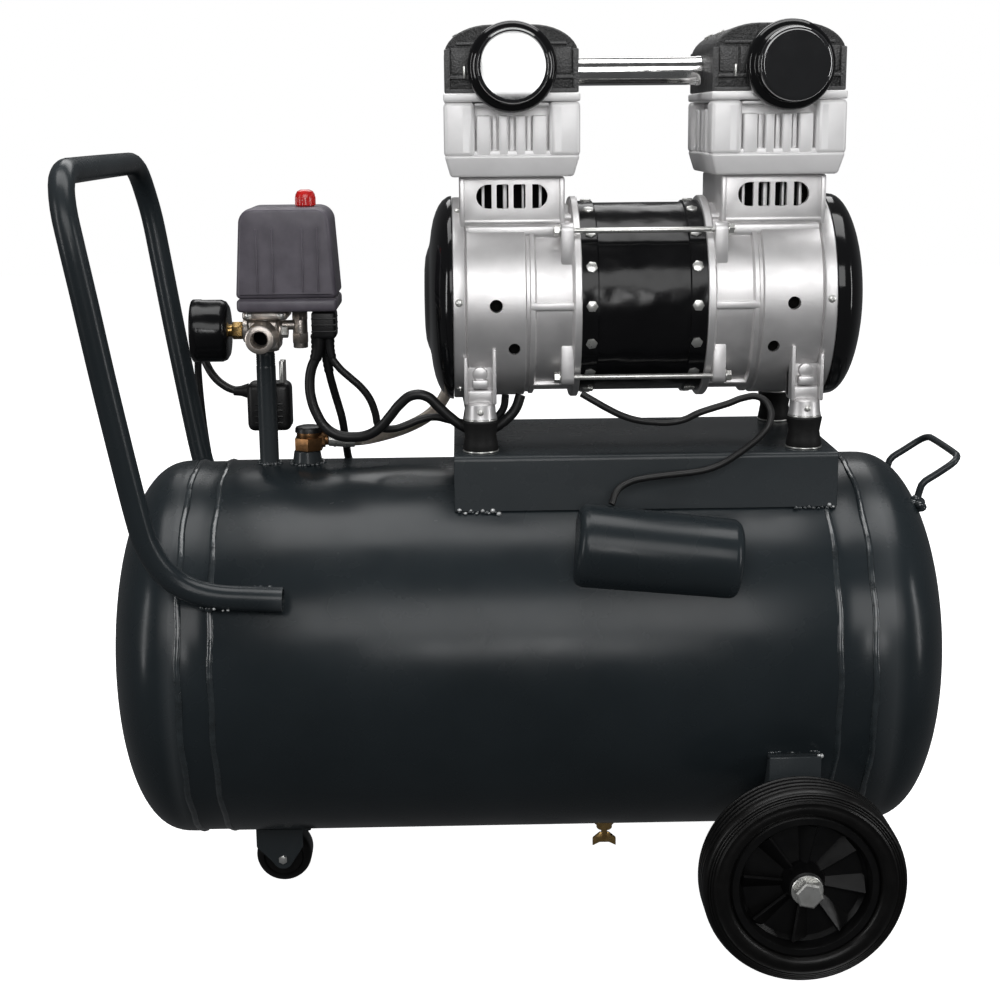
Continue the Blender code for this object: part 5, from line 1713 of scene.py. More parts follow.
@dataclass
class PumpHalf:
    """One cylinder end of the pump. Its side is -1 for the left half and 1 for the right."""

    name: str
    side: int
    head_reach: float = 0.0980
    outer_reach: float = 0.1433
    step_reach: float = 0.1334
    waist_reach: float = 0.0856
    rim_reach: float = 0.0519
    inner_reach: float = 0.0471
    drum: float = 0.0760
    flange: float = 0.0778
    waist: float = 0.0722
    foot_reach: float = 0.1235
    foot_y: float = 0.062
    steps: int = 144

    def __post_init__(self) -> None:
        """Reads the pump's middle from the frame."""
        centre = middle("motor_stator")
        self.pump_x, self.z = centre.x, centre.z
        self.x = self.pump_x + self.side * self.head_reach
        self.axis = Vector((self.side, 0, 0))

    def at(self, reach: float) -> float:
        """The X of a plane at a distance from the pump's middle."""
        return self.pump_x + self.side * reach

    def span(self, first: float, second: float) -> Flat:
        """The low and high X between two reaches."""
        return tuple(sorted((self.at(first), self.at(second))))

    def build(self) -> None:
        """Makes the crankcase, the cylinder, its cover and its cap."""
        self.crankcase()
        self.crankcase_screws()
        self.bell()
        self.cylinder()
        self.cover()
        self.cap()
        self.mounts()

    def crankcase(self) -> None:
        """The cast drum with its vent box, feet and tie-rod ears."""
        drum, flange, waist = self.drum, self.flange, self.waist
        profile = [
            (0.0, self.outer_reach), (flange - 0.0008, self.outer_reach),
            (flange, self.outer_reach - 0.0008),
            (flange, self.step_reach + 0.0014), (flange - 0.0004, self.step_reach + 0.0008),
            (drum - 0.0012, self.step_reach),
            (drum, self.step_reach - 0.0012), (drum, self.waist_reach + 0.0035),
            (drum - 0.0022, self.waist_reach + 0.0024),
            (drum - 0.0022, self.waist_reach + 0.0002), (drum - 0.0008, self.waist_reach - 0.0006),
            (drum - 0.0008, self.waist_reach - 0.0034),
            (waist, self.waist_reach - 0.0050), (waist, self.rim_reach + 0.0022),
            (flange - 0.0010, self.rim_reach + 0.0010),
            (flange, self.rim_reach), (flange, self.inner_reach + 0.0006),
            (flange - 0.0006, self.inner_reach), (0.0, self.inner_reach),
        ]
        case = Shape().lathe(profile, (self.pump_x, 0, self.z), self.axis, self.steps)
        for reach, height, radius in ((0.1110, 0.001, 0.0049), (0.0975, -0.032, 0.0045)):
            spot = Vector((self.at(reach), -0.100, self.z + height))
            case.cut(Shape().rod(spot, spot + Y_AXIS * 0.062, radius, 32))
        self.shade_plugs_and_walls()
        for i in range(6):
            turn = Matrix.Translation((0, 0, self.z)) @ Matrix.Rotation(math.radians(60 * i + 90), 4, "X")
            x0, x1 = self.span(self.rim_reach, self.waist_reach)
            case.block((x0, -0.0030, self.waist - 0.006), (x1, 0.0030, self.drum - 0.0006), 0.0013, 3, turn)
        case.join(self.vent_box())
        for up in (-1, 1):
            self.ear(case, up)
        for front in (-1, 1):
            self.foot(case, front)
        case.finish(
            f"crankcase_{self.name}_casting", CAST_ALUMINIUM, replaces=[f"crankcase_{self.name}"], angle=38,
        )

    def shade_plugs_and_walls(self) -> None:
        """Black discs and sheets set in the drum's holes and behind the grille as painted shade of the
        inside, and the grille's inner walls.
        """
        inside = Shape()
        for reach, height, radius, y in (
            (0.1110, 0.001, 0.0047, -0.0700), (0.0975, -0.032, 0.0043, -0.0620),
        ):
            spot = Vector((self.at(reach), y, self.z + height))
            inside.rod(spot, spot + Y_AXIS * 0.004, radius, 28, rounding=0.0004)
        for front in (-1, 1):
            y0, y1 = sorted((front * 0.0300, front * 0.0330))
            inside.block((self.x - 0.0335, y0, 0.5445), (self.x + 0.0335, y1, 0.5755), 0.0008)
        # Painted shade: the near-black stand-ins for the shaded inside.
        inside.finish(f"crankcase_{self.name}_inside", SHADE_BLACK, slot=f"crankcase_{self.name}")
        walls = Shape()
        for front in (-1, 1):
            y0, y1 = sorted((front * 0.0335, front * 0.0420))
            for shift, width in ((-0.0215, 0.0022), (-0.0050, 0.0030), (0.0085, 0.0018), (0.0215, 0.0022)):
                walls.block(
                    (self.x + shift - width / 2, y0, 0.5445), (self.x + shift + width / 2, y1, 0.5755),
                    0.0006,
                )
        walls.finish(f"crankcase_{self.name}_inner_walls", LIT_CAST_ALUMINIUM, slot=f"crankcase_{self.name}")

    def vent_box(self) -> Shape:
        """The box on the drum, with a slotted grille through its front and back."""
        low, high = self.x - 0.0395, self.x + 0.0395
        box = Shape().block((low, -0.050, 0.5400), (high, 0.050, 0.5790), 0.0022, 3)
        box.cut(Shape().block((low + 0.0050, -0.0450, 0.5430), (high - 0.0050, 0.0450, 0.5760), 0.001, 1))
        half = 0.00890
        end = arc((-0.0178, 0), half, 90, 270, 14) + [(-0.0152, -half), (-0.0152, half)]
        slots = [(end, 0.0), ([(-x, y) for x, y in end], 0.0)]
        pane = [(-0.0045, -half), (0.0045, -half), (0.0045, half), (-0.0045, half)]
        slots += [([(x + shift, y) for x, y in pane], 0.0012) for shift in (-0.0070, 0.0056)]
        for outline, rounding in slots:
            place = on_plane((self.x, 0.07, 0.5646), X_AXIS, Z_AXIS)
            box.cut(Shape().prism(outline, place, 0.14, rounding, 2, 60))
        for front in (-1, 1):
            y = front * 0.0506
            box.block((low + 0.0035, y - 0.0011, 0.5445), (high - 0.0035, y + 0.0008, 0.5475), 0.0007)
            box.block((low + 0.0005, y - 0.0011, 0.5420), (low + 0.0040, y + 0.0008, 0.5780), 0.0007)
            box.block((high - 0.0040, y - 0.0011, 0.5420), (high - 0.0005, y + 0.0008, 0.5780), 0.0007)
        box.block((low + 0.004, -0.0535, 0.5335), (high - 0.004, 0.0535, 0.5440), 0.0030, 3)
        return box

    def ear(self, case: Shape, up: int) -> None:
        """A cast ear that a tie rod passes through.

        Args:
            case: The casting that it belongs to.
            up: 1 for the upper ear, -1 for the lower.
        """
        y, z = -0.060, self.z + up * 0.055
        x0, x1 = self.span(0.0525, 0.0623)
        outline = [
            (-0.0055, 0.0), *arc((0.0, 0.0), 0.0055, 180, 0, 8), (0.0055, -0.0300), (0.0120, -0.0360),
            (-0.0020, -0.0300),
        ]
        outline = [
            (0.0120, -0.030), (-0.0055, -0.030 + 0.004), *arc((0.0, 0.0), 0.0058, 180, 0, 10),
            (0.0120, 0.004),
        ]
        points = [(a, up * b) for a, b in outline]
        case.prism(points, on_plane((x0, y, z), Y_AXIS, Z_AXIS), x1 - x0, 0.0010, 2, 50)

    def foot(self, case: Shape, front: int) -> None:
        """A channel-shaped leg with a boss between its walls, on a round pad.

        Args:
            case: The casting that it belongs to.
            front: -1 for the front foot, 1 for the back one.
        """
        x = self.at(self.foot_reach)
        y0, y1 = sorted((front * 0.0480, front * 0.0600))
        case.block((x - 0.0122, y0, 0.4125), (x + 0.0122, y1, 0.4520), 0.001)
        for edge in (-1, 1):
            w0, w1 = sorted((x + edge * 0.0122, x + edge * 0.0094))
            z_top = 0.4470 + (0.006 if edge * self.side < 0 else 0.0)
            case.block(
                (w0, *sorted((front * 0.050, front * 0.0712))[:1], 0.4110),
                (w1, max(front * 0.050, front * 0.0712), z_top), 0.0011, 3,
            )
        case.block(
            (x - 0.0100, min(front * 0.058, front * 0.0655), 0.4105),
            (x + 0.0100, max(front * 0.058, front * 0.0655), 0.4215), 0.0020, 3,
        )
        case.rod((x, front * 0.0570, 0.4330), (x, front * 0.0640, 0.4330), 0.0056, 32, rounding=0.0012)
        case.block(
            (x - 0.0060, min(front * 0.060, front * 0.0668), 0.4225),
            (x + 0.0060, max(front * 0.060, front * 0.0668), 0.4290), 0.0012,
        )
        case.lathe(
            [
                (0.0, 0.0118), (0.0098, 0.0118), (0.0112, 0.0106), (0.0118, 0.0030), (0.0124, 0.0),
                (0.0, 0.0),
            ],
            (x, front * self.foot_y, 0.3998), Z_AXIS, 40,
        )

    def crankcase_screws(self) -> None:
        """The small screws on the crankcase's ring and feet."""
        screws = Shape()
        for i in range(6):
            angle = math.radians(60 * i + 3)
            out = Vector((0, -math.cos(angle), math.sin(angle)))
            screws.screw(Vector((self.at(0.1385), 0, self.z)) + out * (self.flange - 0.0004), out, 0.0030)
        for front in (-1, 1):
            screws.screw((self.at(self.foot_reach), front * 0.0736, 0.4055), (0, front, 0), 0.0026)
        screws.finish(f"crankcase_{self.name}_screws", ZINC, slot=f"crankcase_{self.name}")

    def bell(self) -> None:
        """The fan cover, stepped on the left half and smoothly domed on the right."""
        if self.side < 0:
            outer = [
                (0.0, 0.0220), (0.012, 0.0219), (0.024, 0.0216), (0.032, 0.0208), (0.0375, 0.0192),
                (0.0405, 0.0180), (0.0440, 0.0172),
                (0.0530, 0.0160), (0.0610, 0.0143), (0.0670, 0.0122), (0.0715, 0.0100), (0.0755, 0.0070),
                (0.0780, 0.0035), (0.0788, 0.0016), (0.0788, 0.0),
            ]
        else:
            outer = [(0.078 * math.sin(a), 0.0062 + 0.0236 * math.cos(a)) for a in degrees(0, 91, 5)]
            outer = [(0.0, outer[0][1]), *outer[1:], (0.0783, 0.0040), (0.0783, 0.0)]
        inner = [(max(0.0, r - 0.0016) if r > 0.002 else 0.0, max(0.0, h - 0.0016)) for r, h in outer[::-1]]
        start = self.at(self.outer_reach + 0.0003)
        Shape().lathe(outer + inner, (start, 0, self.z), self.axis, self.steps).finish(
            f"fan_cover_{self.name}", GLOSS_BLACK, replaces=[f"end_bell_{self.name}"], angle=60,
        )

    def cylinder(self) -> None:
        """The finned cylinder block, on its tapering lower flange."""
        low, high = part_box(f"finned_cylinder_{self.name}")
        half_x, half_y = (high.x - low.x) / 2, (high.y - low.y) / 2
        x, base, waist, top = self.x, 0.5793, 0.5950, high.z
        block = Shape().block(
            (x - half_x + 0.010, -half_y + 0.0115, waist),
            (x + half_x - 0.010, half_y - 0.0115, top - 0.0015), 0.001,
        )
        block.join(self.skirt(half_x, half_y, base, waist))
        for sx in (-1, 1):
            for sy in (-1, 1):
                corner = (x + sx * half_x, sy * half_y, top)
                block.block((x + sx * 0.0272, sy * (half_y - 0.022), waist - 0.001), corner, 0.0032, 4)
                block.block(
                    (x + sx * 0.0310, sy * (half_y - 0.0010), waist + 0.002),
                    (x + sx * 0.0365, sy * (half_y + 0.00001), top - 0.003), 0.0004, 1,
                )
        block.block(
            (x - half_x + 0.002, -half_y + 0.002, waist - 0.0020),
            (x + half_x - 0.002, half_y - 0.002, waist + 0.0035), 0.0014,
        )
        for sy in (-1, 1):
            self.ribs(block, sy, half_y, waist, top)
        for sx in (-1, 1):
            for i in range(3):
                y = -0.023 + 0.023 * i
                block.block(
                    (x + sx * (half_x - 0.012), y - 0.0040, waist),
                    (x + sx * (half_x - 0.0010), y + 0.0040, top - 0.006), 0.0016, 3,
                )
        block.lathe(
            [(0.0272, 0.040), (0.0300, 0.040), (0.0300, 0.0), (0.0272, 0.0)], (x, 0, 0.5562), Z_AXIS, 64,
            ring=True,
        )
        # The block takes the lighter copy of cast aluminium: its brightness is painted light.
        block.finish(
            f"cylinder_block_{self.name}", LIT_CAST_ALUMINIUM, replaces=[f"finned_cylinder_{self.name}"], angle=38,
        )

    def skirt(self, half_x: float, half_y: float, base: float, waist: float) -> Shape:
        """The block's lower flange, narrower at its foot."""
        shell = bmesh.new()
        bmesh.ops.create_cube(shell, size=1.0)
        for vert in shell.verts:
            inset = 0.0046 if vert.co.z < 0 else 0.0002
            vert.co = Vector((
                math.copysign(half_x - inset, vert.co.x), math.copysign(half_y - inset, vert.co.y),
                base if vert.co.z < 0 else waist,
            ))
        round_edges(shell, 0.0022, 3)
        return Shape().add(shell, Matrix.Translation((self.x, 0, 0)))

    def ribs(self, block: Shape, front: int, half_y: float, waist: float, top: float) -> None:
        """The ribs in the recess between the block's posts.

        Args:
            block: The casting that they belong to.
            front: -1 for the front face, 1 for the back.
            half_y: Half the block's depth.
            waist: The height of the recess's foot.
            top: The height of the block's top.
        """
        y_back = front * (half_y - 0.0135)
        for middle_x, width in ((-0.0208, 0.0106), (-0.0064, 0.0066), (0.0063, 0.0070), (0.0203, 0.0104)):
            x = self.x + middle_x
            block.block(
                (x - width / 2, y_back, waist), (x + width / 2, front * (half_y - 0.0016), top - 0.0092),
                0.0014, 3,
            )
        for middle_x in (-0.0128, 0.0, 0.0126):
            x = self.x + middle_x
            block.block(
                (x - 0.0016, y_back, waist), (x + 0.0016, front * (half_y - 0.0060), top - 0.0100), 0.0007,
            )
        block.block(
            (self.x - 0.0272, y_back, top - 0.0030),
            (self.x + 0.0272, front * (half_y - 0.0040), top - 0.0004), 0.0008,
        )

    def cover(self) -> None:
        """The crinkle-finished head cover on its base plate, whose brightness is painted light."""
        low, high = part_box(f"head_cover_{self.name}")
        half_x, half_y = (high.x - low.x) / 2, (high.y - low.y) / 2
        x, base, top = self.x, low.z, high.z
        plate = Shape().block((x - half_x, -half_y, base), (x + half_x, half_y, base + 0.0062), 0.0016, 3)
        plate.finish(f"head_plate_{self.name}", LIT_CAST_ALUMINIUM, slot=f"finned_cylinder_{self.name}")
        width, corner, rise = half_x - 0.0008, 0.034, 0.022
        shoulder = top - rise - base
        right = [
            (width - corner + corner * math.cos(a), shoulder + rise * math.sin(a))
            for a in degrees(0, 91, 9)
        ]
        section = [(width, 0.0062), *right, *[(-px, pz) for px, pz in right[::-1]], (-width, 0.0062)]
        depth = 2 * (half_y - 0.0066)
        place = on_plane((x, depth / 2, base), X_AXIS, Z_AXIS)
        shape = Shape().prism(section, place, depth, 0.0016, 3, 50)
        for front in (-1, 1):
            self.cover_relief(shape, front, half_y - 0.0066, base)
        shape.finish(
            f"head_cover_{self.name}_casting", CRINKLE_BLACK, replaces=[f"head_cover_{self.name}"],
            angle=40,
        )
        self.cover_fasteners(half_x, half_y, base)

    def cover_relief(self, shape: Shape, front: int, face: float, base: float) -> None:
        """Bars, ledges and panels on the cover's face.

        Args:
            shape: The cover.
            front: -1 for the front face, 1 for the back.
            face: The distance of that face from the cover's middle.
            base: The height of the cover's foot.
        """
        x = self.x

        def bar(x0: float, x1: float, z0: float, z1: float, out: float) -> None:
            """Raises a bar from the face by a distance."""
            shape.block(
                (x + x0, front * (face - 0.002), base + z0), (x + x1, front * (face + out), base + z1),
                0.0009,
            )

        for sx in (-1, 1):
            bar(min(sx * 0.0447, sx * 0.0490), max(sx * 0.0447, sx * 0.0490), 0.0064, 0.0375, 0.0030)
        bar(-0.0480, 0.0480, 0.0064, 0.0092, 0.0040)
        bar(-0.0470, 0.0470, 0.0162, 0.0188, 0.0026)
        for x0, x1 in ((-0.0440, -0.0300), (-0.0290, -0.0200), (0.0200, 0.0290), (0.0300, 0.0440)):
            bar(x0, x1, 0.0200, 0.0385, 0.0012)
        bar(-0.0405, 0.0405, 0.0402, 0.0422, 0.0022)

    def cover_fasteners(self, half_x: float, half_y: float, base: float) -> None:
        """The cover's corner bolts and the small clip on its front.

        Args:
            half_x: Half the cover's width.
            half_y: Half its depth.
            base: The height of its foot.
        """
        shape = Shape()
        for sx in (-1, 1):
            for y in (-0.030, 0.030):
                shape.bolt(
                    (self.x + sx * (half_x - 0.0115), y, base + 0.0473), (sx * 0.50, 0, 1), 0.0080, 0.0024,
                    turn=20,
                )
        clip = self.x + (-0.0345 if self.side < 0 else -0.0325)
        shape.block(
            (clip - 0.0009, -half_y + 0.0015, base + 0.0165),
            (clip + 0.0009, -half_y + 0.0080, base + 0.0255), 0.0005,
        )
        shape.finish(f"head_cover_{self.name}_bolts", ZINC, slot=f"head_cover_{self.name}", angle=30)

    def cap(self) -> None:
        """The stepped round intake cap on the cover's front."""
        low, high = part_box(f"intake_cap_{self.name}")
        x, z, back, front = (low.x + high.x) / 2, (low.z + high.z) / 2, high.y, low.y
        depth = back - front
        radius = (high.z - low.z) / 2 - 0.0001
        disc = 0.0262
        ring = [
            (0.0, depth - 0.0030), (disc - 0.0012, depth - 0.0030), (disc - 0.0004, depth - 0.0150),
            (disc + 0.0012, depth - 0.0172),
            (radius - 0.0030, depth - 0.0178), (radius - 0.0012, depth - 0.0190),
            (radius - 0.0002, depth - 0.0215), (radius, depth - 0.0240),
            (radius, 0.0100), (radius - 0.0008, 0.0080), (radius - 0.0025, 0.0066), (0.0140, 0.0066),
            (0.0140, 0.0), (0.0, 0.0),
        ]
        Shape().lathe(ring, (x, back, z), (0, -1, 0), 112).finish(
            f"intake_cap_{self.name}_body", GLOSS_BLACK, replaces=[f"intake_cap_{self.name}"], angle=50,
        )
        face = [
            (0.0, depth - 0.0002), (disc - 0.0030, depth - 0.0002), (disc - 0.0028, depth - 0.00021),
            (disc - 0.0014, depth - 0.0006),
            (disc - 0.0006, depth - 0.0013), (disc - 0.0001, depth - 0.0026), (disc, depth - 0.0060),
            (disc + 0.0004, depth - 0.0150), (0.0, depth - 0.0150),
        ]
        Shape().lathe(face, (x, back, z), (0, -1, 0), 112).finish(
            f"intake_cap_{self.name}_disc", CAP_LACQUER, slot=f"intake_cap_{self.name}", angle=50,
        )

    def mounts(self) -> None:
        """The rubber mounts under the feet, each between two steel washers."""
        for end, front in (("front", -1), ("back", 1)):
            node = f"rubber_mount_{self.name}_{end}"
            low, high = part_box(node)
            x, y, height = self.at(self.foot_reach), front * self.foot_y, high.z - low.z
            radius = (high.y - low.y) / 2
            profile = [
                (0.0, height - 0.0014), (radius - 0.0012, height - 0.0014),
                (radius - 0.0004, height - 0.0024), (radius - 0.0012, height * 0.74),
                (radius - 0.0022, height * 0.5), (radius - 0.0012, height * 0.26),
                (radius - 0.0004, 0.0024), (radius - 0.0008, 0.0012), (0.0, 0.0012),
            ]
            Shape().lathe(profile, (x, y, low.z), Z_AXIS, 56).finish(
                f"{node}_pad", MOUNT_RUBBER, replaces=[node],
            )
            washers = Shape().rod(
                (x, y, low.z), (x, y, low.z + 0.0012), radius - 0.0002, 48, rounding=0.0003,
            )
            washers.rod((x, y, high.z - 0.0014), (x, y, high.z), radius - 0.0014, 48, rounding=0.0003)
            washers.finish(f"{node}_washers", ZINC, slot=node)


@dataclass
class TieRods:
    """The long studs across the motor, with nuts, and the pipe between the heads."""

    rod_radius: float = 0.0021

    def build(self) -> None:
        """Makes the rods and the crossover pipe."""
        for name in ("upper", "lower"):
            node = f"tie_rod_{name}"
            low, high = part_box(node)
            centre = middle(node)
            shape = Shape().rod(
                (low.x, centre.y, centre.z), (high.x, centre.y, centre.z), self.rod_radius, 20,
                rounding=0.0004,
            )
            for side, end in ((1, low.x), (-1, high.x)):
                shape.bolt(
                    (end + side * 0.0039, centre.y, centre.z), (-side, 0, 0), 0.0084, 0.0034, 0.0049,
                    turn=15,
                )
                for i in range(4):
                    x = end + side * 0.0009 * i
                    shape.rod(
                        (x, centre.y, centre.z), (x + 0.0004, centre.y, centre.z), self.rod_radius + 0.0002,
                        20,
                    )
            shape.finish(f"{node}_stud", ZINC, replaces=[node])
        low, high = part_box("crossover_pipe")
        centre, run, radius = middle("crossover_pipe"), high.x - low.x, (high.z - low.z) / 2
        profile = [
            (radius - 0.0004, 0.0), (radius - 0.0004, run), (radius - 0.0022, run), (radius - 0.0022, 0.0),
        ]
        pipe = Shape().lathe(profile, (low.x, centre.y, centre.z), X_AXIS, 72, ring=True)
        for start in (low.x, high.x - 0.0040):
            collar = [
                (radius, 0.0), (radius, 0.0036), (radius - 0.0006, 0.0040), (radius - 0.0015, 0.0040),
                (radius - 0.0015, 0.0),
            ]
            pipe.lathe(collar, (start, centre.y, centre.z), X_AXIS, 72, ring=True)
        pipe.finish("crossover_pipe_tube", CHROME, replaces=["crossover_pipe"], angle=40)


# ---------------------------------------------------------- pressure group


@dataclass
class PressureGroup:
    """The riser, manifold, gauge, switch and valves beside the handle."""

    riser_radius: float = 0.0076

    def __post_init__(self) -> None:
        """Reads the group's places from the frame."""
        self.riser = middle("riser_pipe")
        low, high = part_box("gauge_case")
        self.gauge = (low + high) / 2
        self.manifold_z = self.gauge.z - 0.003
        self.switch = middle("switch_base")

    def build(self) -> None:
        """Makes each fitting."""
        self.riser_pipe()
        self.manifold()
        self.gauge_parts()
        self.switch_parts()
        self.valves()

    def riser_pipe(self) -> None:
        """The pipe from the tank, threaded at its top."""
        low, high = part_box("riser_pipe")
        r, run = self.riser_radius, high.z - low.z
        thread = [(r + (0.0 if i % 2 else 0.0004) - 0.0004, run - 0.012 + 0.0009 * i) for i in range(12)]
        profile = [(r, 0.0), (r, run - 0.0135), *thread, (r - 0.0008, run), (0.005, run), (0.005, 0.0)]
        Shape().lathe(profile, (self.riser.x, 0, low.z), Z_AXIS, 48, ring=True).finish(
            "riser_pipe_tube", SLATE_PAINT, replaces=["riser_pipe"], angle=50,
        )

    def manifold(self) -> None:
        """The cast cross with its outlet, side bosses and flange."""
        low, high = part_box("pressure_manifold")
        x, z = self.riser.x, self.manifold_z
        shape = Shape().block(
            (x - 0.0125, -0.0125, z - 0.0125), (x + 0.0125, 0.0165, z + 0.0125), 0.0040, 4,
        )
        shape.rod((x, -0.0185, z), (x, 0.018, z), 0.0118, 40, rounding=0.0012)
        shape.rod((x, 0, z - 0.0130), (x, 0, z + 0.0135), 0.0112, 40, rounding=0.0010)
        shape.rod((x - 0.0165, 0, z + 0.003), (x + 0.0138, 0, z + 0.003), 0.0092, 36, rounding=0.0010)
        shape.block((x - 0.0150, -0.0185, high.z - 0.0070), (x + 0.0200, 0.0185, high.z), 0.0022, 3)
        thread = [(0.0060 + (0.0005 if i % 2 else 0.0), 0.0200 - 0.0008 * i) for i in range(24)]
        shape.lathe(
            [
                (0.0068, 0.0), (0.0096, 0.0), (0.0108, 0.0008), (0.0108, 0.0030), (0.0100, 0.0042),
                (0.0104, 0.0130), (0.0118, 0.0205), *thread,
            ],
            (x, low.y, z), Y_AXIS, 48, ring=True,
        )
        # Painted shade: a black disc set in the outlet's bore.
        Shape().rod(
            (x, -0.0215, z), (x, -0.0190, z), 0.0062, 32, rounding=0.0004,
        ).finish("manifold_bore_shade", SHADE_BLACK, slot="pressure_manifold")
        shape.finish("manifold_casting", CAST_MANIFOLD, replaces=["pressure_manifold"], angle=38)
        details = Shape()
        for dx in (-0.0095, 0.0150):
            details.screw((x + dx, -0.0186, high.z - 0.0034), (0, -1, 0), 0.0029)
        details.bolt((x + 0.0135, 0.0, z + 0.003), (1, 0, 0), 0.0125, 0.0045)
        details.finish("manifold_fasteners", ZINC, slot="pressure_manifold")

    def gauge_parts(self) -> None:
        """The gauge's case, dial, marks, needle and brass stem."""
        low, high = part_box("gauge_case")
        centre = Vector((0, self.gauge.y, self.gauge.z))
        radius, depth = (high.z - low.z) / 2 - 0.0001, high.x - low.x
        case = [
            (0.0, depth), (0.0120, depth), (radius - 0.0050, depth - 0.0006),
            (radius - 0.0018, depth - 0.0026), (radius - 0.0004, depth - 0.0060), (radius - 0.0004, 0.0080),
            (radius, 0.0070), (radius, 0.0010), (radius - 0.0008, 0.0), (radius - 0.0026, 0.0),
            (radius - 0.0030, 0.0008), (radius - 0.0030, 0.0042), (0.0, 0.0042),
        ]
        place = Vector((low.x, centre.y, centre.z))
        Shape().lathe(case, place, X_AXIS, 96).finish(
            "gauge_case_body", STATOR_BLACK, replaces=["gauge_case"], angle=45,
        )
        dial = [(0.0, 0.0036), (radius - 0.0032, 0.0036), (radius - 0.0032, 0.0043), (0.0, 0.0043)]
        Shape().lathe(dial, place, X_AXIS, 96).finish("gauge_dial", DIAL_CARD, slot="gauge_case")
        marks = Shape()
        for i in range(31):
            turn = Matrix.Translation(place) @ Matrix.Rotation(math.radians(225 - 9 * i), 4, "X")
            long = i % 5 == 0
            marks.block(
                (0.0033, radius - (0.0078 if long else 0.0060), -0.0003), (0.0037, radius - 0.0042, 0.0003),
                0, place=turn,
            )
        marks.finish("gauge_marks", DIAL_INK, slot="gauge_case")
        needle = [(-0.0060, 0.0011), (-0.0060, -0.0011), (0.0155, -0.0003), (0.0155, 0.0003)]
        hub = Vector((low.x + 0.0026, centre.y, centre.z))
        hand = Shape().prism(needle, on_plane(hub, -Z_AXIS, Y_AXIS), 0.0005)
        hand.rod(hub + X_AXIS * 0.0007, hub - X_AXIS * 0.0004, 0.0022, 24)
        hand.finish("gauge_hand", RED_PLASTIC, "needle", ["gauge_needle"])
        stem = Shape().rod(
            (high.x - 0.0006, centre.y, centre.z), (self.riser.x - 0.0150, centre.y, centre.z), 0.0048, 24,
        )
        stem.rod(
            (high.x + 0.0020, centre.y, centre.z), (high.x + 0.0100, centre.y, centre.z), 0.0069, 6,
            rounding=0.0004,
        )
        stem.finish("gauge_stem", BRASS, slot="pressure_manifold")

    def switch_parts(self) -> None:
        """The switch's base, grooved cover, pull knob and cable gland."""
        low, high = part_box("switch_base")
        x = self.switch.x
        base = Shape().block(low, high, 0.0030, 3)
        base.block(
            (low.x + 0.002, low.y + 0.002, high.z - 0.002),
            (high.x - 0.002, high.y - 0.002, high.z + 0.0002), 0.0005,
        )
        base.finish("switch_base_moulding", SWITCH_PLASTIC, replaces=["switch_base"])
        clow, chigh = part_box("switch_cover")
        height, corner, half_y = chigh.z - clow.z, 0.0120, (chigh.y - clow.y) / 2
        right = arc((0.0348 - corner, height - corner), corner, 0, 90, 12)
        left = [(-a, b) for a, b in right[::-1]]
        section = [(0.0384, 0.0), (0.0384, 0.0030), *right, *left, (-0.0384, 0.0030), (-0.0384, 0.0)]
        cover = Shape().prism(
            section, on_plane((x, half_y, clow.z), X_AXIS, Z_AXIS), 2 * half_y, 0.0034, 4, 50,
        )
        for front in (-1, 1):
            for groove in (-0.2095, -0.1975, -0.1749, -0.1632):
                y = front * half_y
                near, far = (groove - 0.0007, y - 0.0012, 0.4935), (groove + 0.0007, y + 0.0012, 0.5415)
                cover.cut(Shape().block(near, far, 0.0004, 1))
        cover.finish("switch_cover_moulding", SWITCH_PLASTIC, replaces=["switch_cover"], angle=40)
        self.knob()
        self.gland()

    def knob(self) -> None:
        """The red pull knob, with fine ribs round its skirt."""
        low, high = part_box("switch_knob")
        centre = middle("switch_knob")
        base = high.z - 0.0125
        profile = [
            (0.0, 0.0125), (0.0035, 0.0124), (0.0060, 0.0112), (0.0074, 0.0088), (0.0077, 0.0060),
            (0.0077, 0.0008), (0.0070, 0.0), (0.0, 0.0),
        ]
        shape = Shape().lathe(profile, (centre.x, centre.y, base), Z_AXIS, 48)
        for i in range(18):
            angle = TURN * i / 18
            x, y = centre.x + 0.0075 * math.cos(angle), centre.y + 0.0075 * math.sin(angle)
            spot = Vector((x, y, base + 0.0008))
            shape.rod(spot, spot + Z_AXIS * 0.0062, 0.0005, 6)
        shape.rod((centre.x, centre.y, low.z), (centre.x, centre.y, base + 0.001), 0.0039, 20)
        shape.finish("switch_knob_cap", RED_PLASTIC, "knob", ["switch_knob"])

    def gland(self) -> None:
        """The cable gland, with a tapered strain relief where each cable leaves it."""
        low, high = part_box("cable_gland")
        shape = Shape().block(low, high, 0.0028, 3)
        for i in range(3):
            z = low.z + 0.005 + 0.005 * i
            shape.block(
                (low.x - 0.0001, low.y - 0.0001, z), (high.x + 0.0001, high.y + 0.0001, z + 0.0016), 0.0005,
            )
        shape.finish("cable_gland_body", BLACK_PLASTIC, replaces=["cable_gland"])
        reliefs = Shape()
        for route, radius in (
            (
                [
                    (-0.1605, -0.0060, 0.4590), (-0.1604, -0.0059, 0.4480), (-0.1600, -0.0050, 0.4370),
                    (-0.1591, -0.0031, 0.4275),
                ],
                0.0034,
            ),
            ([(-0.1658, -0.0150, 0.4590), (-0.1664, -0.0150, 0.4480), (-0.1688, -0.0150, 0.4390)], 0.0041),
            ([(-0.1577, -0.0140, 0.4590), (-0.1573, -0.0140, 0.4480), (-0.1555, -0.0140, 0.4400)], 0.0031),
        ):
            line = smooth_route(route, 0.002)
            taper = [(1.55 if i % 2 else 1.42) - 0.42 * i / (len(line) - 1) for i in range(len(line))]
            reliefs.sweep(line, radius, 20, taper)
        reliefs.finish("cable_strain_reliefs", BLACK_PLASTIC, slot="cable_gland", angle=50)

